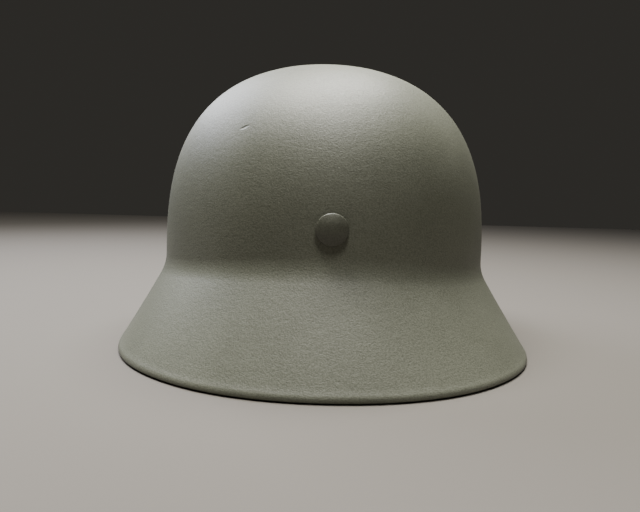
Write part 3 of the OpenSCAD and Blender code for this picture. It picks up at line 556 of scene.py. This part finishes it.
# The washers under the prongs, and the rivets' shanks and prongs
WASHER_R, WASHER_T = 6.5, 0.8
SHANK_R = 2.4
PRONG_T, PRONG_W, PRONG_LEN = 0.9, 3.6, 8.0


def station(side, angle):
    """Arc centre, outward direction and radius; side 0 is right, 90 front, 180 left, 270 rear."""
    w = math.radians(side + angle)
    out = np.array([math.cos(w), math.sin(w), 0.0])
    if side % 180 == 0:
        return np.array([-BAND_CX * math.cos(math.radians(side)), 0, 0]), out, BAND_SR
    return np.array([0, BAND_CY * math.sin(math.radians(side)), 0]), out, BAND_ER


def arc_half(side):
    """Angle from the middle of a band's arc to where the next arc starts, on the line of both centres."""
    half = math.degrees(math.atan2(BAND_CY, BAND_CX))
    return half if side % 180 == 0 else 90 - half


def washer_foot(side):
    """Distance from the arc centre to a washer's inner face. The washer is flat and the band is round,
    so its outer rim meets the band where the band's inner radius and its own make a right triangle."""
    r = BAND_ER if side % 180 else BAND_SR
    inner = r - BAND_T
    return math.sqrt(inner**2 - WASHER_R**2) - HOLE_GAP - WASHER_T


SEAT_STEPS = 8


def seat_radius(side, angle, z):
    """Distance from the arc centre to the dome along a station, found by stepping to it."""
    centre, out, t = station(side, angle)
    for _ in range(SEAT_STEPS):
        p = centre + t * out
        a = math.degrees(math.atan2(p[0], p[1]))
        t += float(dome_radius(a, z)) - math.hypot(p[0], p[1])
    return t


RIVET_DOME, RIVET_EDGE_R, RIVET_FOOT_R = 1.9, 0.9, 0.3
RIVET_SEAT_GAP, PRONG_EDGE_R, PRONG_TIP = 0.15, 0.3, 0.7
RIVET_SIDES, VENT_SIDES, CUT_SIDES = 96, 72, 32


def rivet_profile(shank):
    """Half section of a broad rivet: a face that falls with the square of the radius, an arc that meets
    it at the face's own slope, a small arc under the edge, and a plain shank."""
    slope = math.atan(2 * RIVET_DOME * (RIVET_HEAD - RIVET_EDGE_R / 2) / RIVET_HEAD**2)
    meet = RIVET_HEAD - RIVET_EDGE_R * (1 - math.sin(slope))
    face = [(r, RIVET_HEAD_T - RIVET_DOME * (r / RIVET_HEAD) ** 2) for r in np.linspace(0, meet, 14)]
    edge_z = face[-1][1] - RIVET_EDGE_R * math.cos(slope)
    edge = arc((RIVET_HEAD - RIVET_EDGE_R, edge_z), RIVET_EDGE_R, 90 - math.degrees(slope), 0, 9)[1:]
    under = arc((RIVET_HEAD - RIVET_FOOT_R, RIVET_FOOT_R), RIVET_FOOT_R, 0, -90, 5)
    return face + edge + under + [(SHANK_R, 0), (SHANK_R, -shank), (0, -shank)]


def liner_rivet(name, node, side, share):
    """Lathe-turned head and shank, and two prongs bent flat along the band."""
    angle = share * arc_half(side)
    centre, out, _ = station(side, angle)
    seat = seat_radius(side, angle, RIVET_HEIGHT - RIVET_HEAD) + RIVET_SEAT_GAP
    foot = washer_foot(side) - HOLE_GAP
    origin = centre + seat * out + np.array([0, 0, RIVET_HEIGHT])
    head, head_faces = lathe(rivet_profile(seat - foot + PRONG_T), RIVET_SIDES, False)
    parts = [(moved(head, origin, out), head_faces)]
    section = round_box(PRONG_W, PRONG_T, PRONG_EDGE_R)
    level = np.cross((0, 0, 1), out)
    for up in (1, -1):
        path = [centre + (foot - PRONG_T / 2) * out + np.array([0, 0, RIVET_HEIGHT + up * h])
                for h in (0, PRONG_LEN - PRONG_TIP, PRONG_LEN)]
        parts.append(sweep(path, [level] * 3, [out * up] * 3, section))
    points, faces = joined(parts)
    piece = make_piece(name, points * MM, faces, "helmet", FITTING_ENAMEL)
    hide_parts(node)


VENT_WALL, VENT_FLANGE_T = 0.9, 1.1
VENT_DEPTH = SHEET + 2 * SEAT_GAP
MOUTH_R, CRIMP_R, CRIMP_INSET = 0.7, 0.6, 0.8


def vent_bushing(name, node, turn):
    """A hollow rivet: rolled flange outside, plain tube, crimped flange inside. A closed profile of
    half circles and quarter circles is turned about the hole's own line."""
    lip = VENT_FLANGE_T / 2
    tube, foot = VENT_BORE + VENT_WALL, -VENT_DEPTH - VENT_FLANGE_T
    profile = (arc((VENT_FLANGE - lip, lip), lip, -90, 90, 9)
               + arc((VENT_BORE + MOUTH_R, VENT_FLANGE_T - MOUTH_R), MOUTH_R, 90, 180, 5)
               + arc((VENT_BORE + CRIMP_R, foot + CRIMP_R), CRIMP_R, 180, 270, 5)
               + arc((VENT_FLANGE - CRIMP_INSET - lip, foot + lip), lip, -90, 90, 7)
               + [(tube, foot + VENT_FLANGE_T), (tube, 0)])
    points, faces = lathe(profile, VENT_SIDES, True)
    origin, out = on_dome(turn * VENT_ANGLE, VENT_HEIGHT), dome_normal(turn * VENT_ANGLE, VENT_HEIGHT)
    piece = make_piece(name, moved(points, origin, out) * MM, faces, "helmet",
                       FITTING_ENAMEL)
    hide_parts(node)


def cutter(name, points, faces):
    """A hidden mesh from millimetre points that is used up by one cut."""
    made = bpy.data.objects.new(name, solid_mesh(name, np.asarray(points, float) * MM, faces))
    bpy.context.scene.collection.objects.link(made)
    return made


CUT_REACH = 6.0


def pin_cutter(origin, out, radius):
    """A round pin that reaches as far to both sides of a place."""
    profile = [(0, CUT_REACH), (radius, CUT_REACH), (radius, -CUT_REACH), (0, -CUT_REACH)]
    points, faces = lathe(profile, CUT_SIDES, False)
    return moved(points, np.asarray(origin, float), np.asarray(out, float)), faces


def cut(piece, tool):
    """Applies a Boolean difference and removes the cutter."""
    change = piece.modifiers.new("cut", "BOOLEAN")
    change.operation, change.solver, change.object = "DIFFERENCE", "EXACT", tool
    bpy.context.view_layer.objects.active = piece
    bpy.ops.object.modifier_apply(modifier=change.name)
    bpy.data.objects.remove(tool)


# Leather liner: an upright brow band that divides into eight fingers

SPRING_GAP, INNER_H, LEATHER_T, FELT_T = 8.0, 14.0, 1.6, 1.5
SMALL_R, SMALL_HEAD_T = 1.2, 0.5
# Space outside the felt and outside the leather, and the depth of the brow leather below the bands
FELT_GAP, LEATHER_GAP, LEATHER_DROP = 0.2, 0.1, 3.0
INNER_DEPTH = BAND_T + SPRING_GAP
FELT_DEPTH = INNER_DEPTH + BAND_T + SMALL_HEAD_T + FELT_GAP
LEATHER_DEPTH = FELT_DEPTH + FELT_T + LEATHER_GAP
INNER_Z = BAND_Z + (BAND_H - INNER_H) / 2
BROW_Z, BROW_TOP = INNER_Z - LEATHER_DROP, INNER_Z + INNER_H
LINER_TOP, SLOT_Z, LINER_POWER, TIP_ANGLE, FINGERS = 140.0, 88.0, 2.3, 20.0, 8
FINGER_POWER = 6
SLOT_ANGLE = math.degrees(math.acos(((SLOT_Z - BROW_TOP) / (LINER_TOP - BROW_TOP)) ** (LINER_POWER / 2)))
FORE_SHARE, AFT_SHARE, REAR_SHARE = 0.3, 0.53, 0.49


def inner_run(side):
    """Length of half an arc of the inner band: its angle times its radius."""
    return math.radians(arc_half(side)) * (station(side, 0)[2] - INNER_DEPTH)


# Stations of the nine pins, as shares of half an arc: behind the five springs, halfway round from a
# fore spring to the front one at the temples, and at the rear
TEMPLE_SHARE = (1 + FORE_SHARE + inner_run(90) / inner_run(0)) / 2
PINS = [(90, 0), (180, -FORE_SHARE), (180, AFT_SHARE), (0, FORE_SHARE), (0, -AFT_SHARE),
        (0, TEMPLE_SHARE), (180, -TEMPLE_SHARE), (270, REAR_SHARE), (270, -REAR_SHARE)]
# Each finger's holes: degrees down from the crown, radius, and spread as a share of half its width
LACE_ANGLE, LACE_R = 26.0, 2.6
AIR_ROWS, AIR_SPREAD, AIR_R = ((46.0, (-0.5, 0.5)), (58.0, (-1, 0, 1))), 0.42, 1.3


def liner_oval(a, depth):
    """Radius of the outer band's oval, drawn in by a depth."""
    return oval(a, BAND_HW - depth, BAND_HL - depth, BAND_ER - depth)


def finger_end(u):
    """Angle down from the crown where the leather ends, at u from -1 to 1 across a finger: from the
    slot's foot to the tip by one less a power of u, so that a finger is broad and its end blunt."""
    return SLOT_ANGLE + (TIP_ANGLE - SLOT_ANGLE) * (1 - np.abs(u) ** FINGER_POWER)


def liner_points(a, p):
    """Outside of the leather at the angle a round it and p degrees down from the crown: a superellipse
    that stands on the band's drawn-in oval, its radius by the sine of p and its height by the cosine."""
    r = liner_oval(a, LEATHER_DEPTH) * np.sin(np.radians(p)) ** (2 / LINER_POWER)
    z = BROW_TOP + (LINER_TOP - BROW_TOP) * np.cos(np.radians(np.minimum(p, 90))) ** (2 / LINER_POWER)
    return np.stack([r * np.sin(np.radians(a)), r * np.cos(np.radians(a)), z], -1)


FINGER_COLUMNS, FINGER_ROWS, BROW_ROWS, EDGE_ROWS = 26, 26, 9, 4
# Where the wear starts above the brow and over what height it grows, how deep it sinks, the edges' bulge
WORN_FROM, WORN_OVER, SINK_DEPTH, EDGE_BULGE = 6.0, 25.0, 0.7, 0.35
# The wear's two sets of waves: how many go round the liner, and radians for each millimetre of height
RIPPLES = ((11, 0.13), (3, 0.21))


def outward(points):
    """Normals of a rows by columns grid that is closed round its columns: the cross product of its
    steps down and across, turned away from the upright axis."""
    down = np.gradient(points, axis=0)
    across = np.roll(points, -1, 1) - np.roll(points, 1, 1)
    n = np.cross(down, across)
    n /= np.maximum(np.linalg.norm(n, axis=-1, keepdims=True), 1e-9)
    return n * np.sign((n[..., :2] * points[..., :2]).sum(-1, keepdims=True) + 1e-9)


def leather_points():
    """Rows from the fingers' ends down to the brow edge outside, round it, and back up inside.
    The fingers sink by the product of two sine waves, slanted against each other, as worn leather does."""
    u = np.sin(np.linspace(-1, 1, FINGER_COLUMNS, endpoint=False) * math.pi / 2)
    a = ((np.arange(FINGERS)[:, None] + 0.5 + u[None] / 2) * 360 / FINGERS).ravel()
    ends = np.tile(finger_end(u), FINGERS)
    share = np.linspace(0, 1, FINGER_ROWS)[:, None]
    upper = liner_points(a[None], ends + (90 - ends) * share)
    foot = np.linspace(BROW_TOP, BROW_Z, BROW_ROWS)[1:, None]
    lower = np.repeat(upper[-1:], BROW_ROWS - 1, 0)
    lower[..., 2] = foot
    face = np.concatenate([upper, lower])
    n = outward(face)
    inside = face - LEATHER_T * n
    up, turn = face[..., 2], np.radians(a)[None]
    worn = smooth((up - BROW_TOP - WORN_FROM) / WORN_OVER)
    ripple = np.prod([0.5 + 0.5 * np.sin(waves * turn + rise * up) for waves, rise in RIPPLES], 0)
    sink = (SINK_DEPTH * worn * ripple)[..., None] * n
    face, inside = face - sink, inside - sink
    middle, half = (face + inside) / 2, LEATHER_T / 2

    def rounded(row, way):
        """Rows that bring the face round an edge to the inside; way leads out past the edge."""
        angles = np.linspace(0, math.pi, EDGE_ROWS + 2)[1:-1]
        return np.stack([middle[row] + n[row] * half * math.cos(w) + way * EDGE_BULGE * math.sin(w)
                         for w in angles])

    tip = face[0] - face[1]
    tip /= np.maximum(np.linalg.norm(tip, axis=-1, keepdims=True), 1e-9)
    low = rounded(-1, np.array([0, 0, -1.0]))
    high = rounded(0, tip)[::-1]
    return np.concatenate([face, low, inside[::-1], high])


def pin_holes(depth):
    """Cutters where the pins pass through a layer that lies at a depth inside the outer band."""
    parts = []
    for side, share in PINS:
        centre, out, radius = station(side, share * arc_half(side))
        place = centre + (radius - depth) * out + (0, 0, RIVET_HEIGHT)
        parts.append(pin_cutter(place, out, SMALL_R + HOLE_GAP))
    return parts


def liner_holes():
    """Cutter for the pins' holes, and for one lacing hole and five air holes in each finger."""
    parts = pin_holes(LEATHER_DEPTH)
    spots = [(0.0, LACE_ANGLE, LACE_R)] + [(AIR_SPREAD * i, p, AIR_R) for p, row in AIR_ROWS for i in row]
    for f in range(FINGERS):
        for u, p, r in spots:
            a = (f + 0.5 + u / 2) * 360 / FINGERS
            at = liner_points(a, p)
            n = np.cross(liner_points(a, p + 1) - at, liner_points(a + 1, p) - at)
            n /= np.linalg.norm(n) * (1 if n @ at > 0 else -1)
            parts.append(pin_cutter(at, n, r))
    return cutter("liner_holes", *joined(parts))


def leather_liner():
    """The brow band and its eight fingers in one closed skin, with its holes punched."""
    points = leather_points()
    rows, columns = points.shape[:2]
    faces = grid_quads(rows, columns, True, True).tolist()
    piece = make_piece("fingered_leather", points.reshape(-1, 3) * MM, faces, "helmet",
                       LINER_LEATHER)
    cut(piece, liner_holes())
    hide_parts("leather_liner")


FELT_STEP, FELT_EDGE_R = 1.5, 0.6


def felt_strip():
    """A ring of felt with soft edges between the inner band and the leather: a rounded box carried
    round the band's drawn-in oval, square to it."""
    a = np.arange(0, 360, FELT_STEP)
    depth = FELT_DEPTH + FELT_T / 2
    r = liner_oval(a, depth)
    middle_z = np.full(len(a), INNER_Z + INNER_H / 2)
    path = np.stack([r * np.sin(np.radians(a)), r * np.cos(np.radians(a)), middle_z], -1)
    along = np.roll(path, -1, 0) - np.roll(path, 1, 0)
    out = np.cross(along, (0, 0, 1.0))
    out /= np.linalg.norm(out, axis=-1, keepdims=True)
    out *= np.sign((out * path).sum(-1, keepdims=True))
    section = np.array(round_box(FELT_T, INNER_H, FELT_EDGE_R, 5))
    ring = path[:, None] + section[None, :, :1] * out[:, None] + section[None, :, 1:] * np.array([0, 0, 1.0])
    faces = grid_quads(*ring.shape[:2], True, True).tolist()
    piece = make_piece("brow_felt_strip", ring.reshape(-1, 3) * MM, faces, "helmet", FELT)
    cut(piece, cutter("felt_holes", *joined(pin_holes(depth))))
    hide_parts("brow_felt")


# Chinstrap: a flat strap that follows runs and turns in the plane of the two bails

WIRE_R, CLIP_T, CURL_DROP = 1.25, 0.8, 0.6
FLAP, ESS_R, BEND_R, BAIL_DROP = 12.0, 6.0, 13.0, 14.0
CURL_R = WIRE_R + RUNNING + CLIP_T
PIVOT_X, PIVOT_Z = BAND_HW - BAND_T - SEAT_GAP - CURL_R, BAND_Z - CURL_R - CURL_DROP
BAR_Z = PIVOT_Z - BAIL_DROP
LOOP_R = WIRE_R + SOFT_GAP + STRAP_T / 2
DROP = BAR_Z - BEND_R - STRAP_T / 2 - SOFT_GAP
SHORT_RUN, LONG_FOLD_R, BUCKLE_R, BUCKLE_L = 52.0, 9.0, 1.1, 16.0
# Space between the buckle and the long half's fold, and between its end and its own upright part
STRAP_APART, TAIL_CLEAR = 10.0, 16.0
FOLD_R = BUCKLE_R + SOFT_GAP + STRAP_T / 2
BUCKLE_X = -PIVOT_X + LOOP_R + BEND_R + SHORT_RUN
FOLD_X = BUCKLE_X + BUCKLE_L + BUCKLE_R + STRAP_APART + STRAP_T / 2 + LONG_FOLD_R
TAIL_X = PIVOT_X - LOOP_R - STRAP_T / 2 - TAIL_CLEAR
LONG_RUN, LONG_TAIL = PIVOT_X - LOOP_R - BEND_R - FOLD_X, TAIL_X - FOLD_X
TAIL_Z = SOFT_GAP + STRAP_T / 2 + 2 * LONG_FOLD_R
STUD_R, STUD_IN, PUNCH_R, HOLE_COUNT = 1.5, 1.2, 1.3, 5
# The punched holes' distances from the strap's end and from its fold
FIRST_HOLE, LAST_HOLE = 16.0, 10.0
HOLE_PITCH = (LONG_TAIL - FIRST_HOLE - LAST_HOLE) / (HOLE_COUNT - 1)
STRAP_EDGE_R, TIP_RUN, TIP_DRAWN_IN, TIP_POWER = 0.75, 8.0, 0.86, 1.8
SLOT_LEAD, SLOT_RUN, SLOT_HALF_W, SLOT_UP = 4.2, 12.0, 2.2, 20.0


def ess_angle(r):
    """Turn of each half of the S that brings a flap back onto its strap from a loop of radius r: two
    equal arcs whose cosines make up the step between the loop's width and the strap's thickness."""
    return math.degrees(math.acos(1 - (2 * r - STRAP_T - SOFT_GAP) / (2 * ESS_R)))


def ess_length(r):
    """Length along the strap that the S takes up: twice its radius times the sine of its turn."""
    return 2 * ESS_R * math.sin(math.radians(ess_angle(r)))


def strap_way(steps, start, heading):
    """Places and headings of ("run", length) and ("turn", radius, angle) steps, 2 mm or 6 degrees apart."""
    place, h, way = np.array(start, float), heading, [(np.array(start, float), heading)]
    for kind, *size in steps:
        if kind == "run":
            n = max(2, int(size[0] / 2))
            ahead = np.array([math.cos(math.radians(h)), math.sin(math.radians(h))])
            way += [(place + ahead * size[0] * k / n, h) for k in range(1, n + 1)]
        else:
            r, w = size[0] * math.copysign(1, size[1]), size[1]
            n = max(3, int(abs(w) / 6))
            middle = place + r * np.array([-math.sin(math.radians(h)), math.cos(math.radians(h))])
            for k in range(1, n + 1):
                g = math.radians(h + w * k / n)
                way.append((middle - r * np.array([-math.sin(g), math.cos(g)]), math.degrees(g)))
            h += w
        place = way[-1][0]
    return way


def strap_half(name, node, side, steps, body, tip, cutters):
    """A strap with rounded edges; side is 1 on the right, -1 on the left. Over the tip's length the
    width follows a superellipse down to a narrow end."""
    way = strap_way([("run", FLAP), ("turn", ESS_R, ess_angle(LOOP_R)), ("turn", ESS_R, -ess_angle(LOOP_R)),
                     ("turn", LOOP_R, -180), ("run", DROP), ("turn", BEND_R, 90)] + steps,
                    (LOOP_R - STRAP_T - SOFT_GAP, -ess_length(LOOP_R) - FLAP), 90)
    flat = np.array([w[0] for w in way])
    turn = np.radians([w[1] for w in way])
    length = np.concatenate([[0], np.cumsum(np.linalg.norm(np.diff(flat, axis=0), axis=1))])
    left = length[-1] - length
    gone = 1 - np.minimum(left / tip, 1) if tip else 0 * left
    wide = (1 - TIP_DRAWN_IN * gone ** TIP_POWER) ** (1 / TIP_POWER)
    section = np.array(round_box(STRAP_W, STRAP_T, STRAP_EDGE_R, 4))
    up = np.stack([-np.sin(turn), np.cos(turn)], -1)
    plane = flat[:, None] + section[None, :, 1:] * up[:, None]
    ring = np.stack([side * (PIVOT_X - plane[..., 0]), section[None, :, 0] * wide[:, None],
                     BAR_Z + plane[..., 1]], -1)
    if side > 0:
        ring = ring[:, ::-1]
    points, faces = capped_grid(ring, ring[0].mean(0), ring[-1].mean(0))
    piece = make_piece(name, points * MM, faces, body, STRAP_LEATHER)
    cut(piece, cutter(name + "_holes", *joined(cutters)))
    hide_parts(node)


def stud_cutter(side):
    """Hole for the double button, through the strap and the middle of its flap."""
    z = BAR_Z - ess_length(LOOP_R) - FLAP / 2
    return pin_cutter((side * (PIVOT_X - STUD_IN), 0, z), (1.0, 0, 0), STUD_R + HOLE_GAP)


def slot_cutter():
    """Slot through the short half's fold, where the prong turns: a plain box."""
    points = np.array([(BUCKLE_X - SLOT_LEAD + i * SLOT_RUN, SLOT_HALF_W * j, SLOT_UP * k)
                       for i in (0, 1) for j in (-1, 1) for k in (0, 1)])
    return points, [(0, 1, 3, 2), (4, 6, 7, 5), (0, 4, 5, 1), (2, 3, 7, 6), (0, 2, 6, 4), (1, 5, 7, 3)]


def straps():
    """Both halves: the short one folds round the buckle's bar, the long one turns back in its tail."""
    strap_half("short_strap_leather", "short_strap", -1,
               [("run", SHORT_RUN), ("turn", FOLD_R, 180), ("turn", ESS_R, ess_angle(FOLD_R)),
                ("turn", ESS_R, -ess_angle(FOLD_R)), ("run", FLAP)],
               "short_half", 0, [stud_cutter(-1), slot_cutter()])
    punched = [pin_cutter((TAIL_X - FIRST_HOLE - k * HOLE_PITCH, 0, TAIL_Z), (0, 0, 1.0), PUNCH_R)
               for k in range(HOLE_COUNT)]
    strap_half("long_strap_leather", "long_strap", 1,
               [("run", LONG_RUN), ("turn", LONG_FOLD_R, 180), ("run", LONG_TAIL)],
               "long_half", TIP_RUN, [stud_cutter(1)] + punched)


RIVETS = (("rear_liner_rivet", "rear_rivet", 270, 0),
          ("left_liner_rivet", "front_left_rivet", 180, -RIVET_SIDE_SHARE),
          ("right_liner_rivet", "front_right_rivet", 0, RIVET_SIDE_SHARE))
# Distance of a rivet hole's cutter outside the band's arc
RIVET_HOLE_OUT = 2.0
VENTS = (("right_vent", "vent_bushing_right", 1), ("left_vent", "vent_bushing_left", -1))


def shell_holes():
    """Cutter for the two vents' holes and the three rivets' holes."""
    parts = [pin_cutter(on_dome(turn * VENT_ANGLE, VENT_HEIGHT), dome_normal(turn * VENT_ANGLE, VENT_HEIGHT),
                        VENT_BORE + VENT_WALL + HOLE_GAP) for _, _, turn in VENTS]
    for _, _, side, share in RIVETS:
        middle, out, radius = station(side, share * arc_half(side))
        place = middle + (radius + RIVET_HOLE_OUT) * out + (0, 0, RIVET_HEIGHT)
        parts.append(pin_cutter(place, out, SHANK_R + HOLE_GAP))
    return cutter("shell_holes", *joined(parts))


def finish_nodes(material, *names):
    """Gives CAD nodes their material."""
    for name in names:
        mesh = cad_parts[name].data
        mesh.materials.clear()
        mesh.materials.append(material)


cut(shell(), shell_holes())
for vent in VENTS:
    vent_bushing(*vent)
for rivet in RIVETS:
    liner_rivet(*rivet)
straps()
leather_liner()
felt_strip()
finish_nodes(ZINC_STRIP, "outer_band", "inner_band", "rear_washer", "front_left_washer",
             "front_right_washer")
finish_nodes(BLUED_SPRING, "spring_front", "spring_left_front", "spring_left_rear",
             "spring_right_front", "spring_right_rear")
finish_nodes(DARK_STEEL, "spring_rivets", "clip_rivets", "bail_clip_left", "bail_clip_right")
finish_nodes(PLATED_WIRE, "bail_left", "bail_right", "buckle_frame", "buckle_prong",
             "short_strap_stud", "long_strap_stud")
finish_nodes(DULL_ALUMINIUM, "liner_pins")

# Stage

FLOOR_SIZE, FLOOR_DROP = 3.0, 0.0002


def floor():
    """A plain floor, a hair below the rim."""
    bpy.ops.mesh.primitive_plane_add(size=FLOOR_SIZE, location=(0, 0, -FLOOR_DROP))
    plane = bpy.context.object
    plane.name = "floor"
    made, tree, shader, _ = new_material("pale_studio_floor")
    feed(tree, shader, {"Base Color": hex_colour("#5f5b55"), "Roughness": 0.9})
    plane.data.materials.append(made)


def area_light(name, place, aim, size, power, colour):
    """A soft panel that faces a point."""
    data = bpy.data.lights.new(name, "AREA")
    data.shape = "RECTANGLE"
    data.size, data.size_y = size
    data.energy = power
    data.color = hex_colour(colour)[:3]
    lamp = bpy.data.objects.new(name, data)
    bpy.context.scene.collection.objects.link(lamp)
    direction = np.array(aim, float) - np.array(place, float)
    lamp.location = place
    lamp.rotation_euler = Vector(direction).to_track_quat("-Z", "Y").to_euler()


floor()
area_light("overhead_panel", (-0.05, 0.10, 0.95), (0, 0, 0.1), (0.90, 0.30), 32.0, "#fffdf8")
area_light("room_panel", (0.06, -0.35, 0.95), (0, 0, 0.1), (0.20, 0.16), 7.5, "#fffdf8")
area_light("back_panel", (-0.50, 0.42, 0.62), (0, 0, 0.12), (0.5, 0.4), 9.0, "#eef1ff")
world = bpy.data.worlds.new("studio")
bpy.context.scene.world = world
world.use_nodes = True
feed(world.node_tree, world.node_tree.nodes["Background"],
     {"Color": hex_colour("#cfcabf"), "Strength": 0.05})

# Camera: fitted to the photograph's outline of the helmet, in the 640 by 512 frame

IMAGE_WIDTH = 640
FOCAL_PX = 577.5
SENSOR = 36.0
CAMERA_PLACE = (-12.84, -381.88, 88.74)
CAMERA_YAW, CAMERA_PITCH, CAMERA_ROLL = -1.62, -6.21, 1.71


def camera():
    """Turned about the upright by the yaw, raised by the pitch and rolled about its own line of sight."""
    data = bpy.data.cameras.new("camera")
    data.sensor_width = SENSOR
    data.lens = FOCAL_PX * SENSOR / IMAGE_WIDTH
    data.clip_start = 0.01
    made = bpy.data.objects.new("camera", data)
    bpy.context.scene.collection.objects.link(made)
    turn = (Matrix.Rotation(math.radians(CAMERA_YAW), 4, "Z")
            @ Matrix.Rotation(math.radians(90 + CAMERA_PITCH), 4, "X")
            @ Matrix.Rotation(math.radians(CAMERA_ROLL), 4, "Z"))
    made.matrix_world = Matrix.Translation([v * MM for v in CAMERA_PLACE]) @ turn
    bpy.context.scene.camera = made


camera()
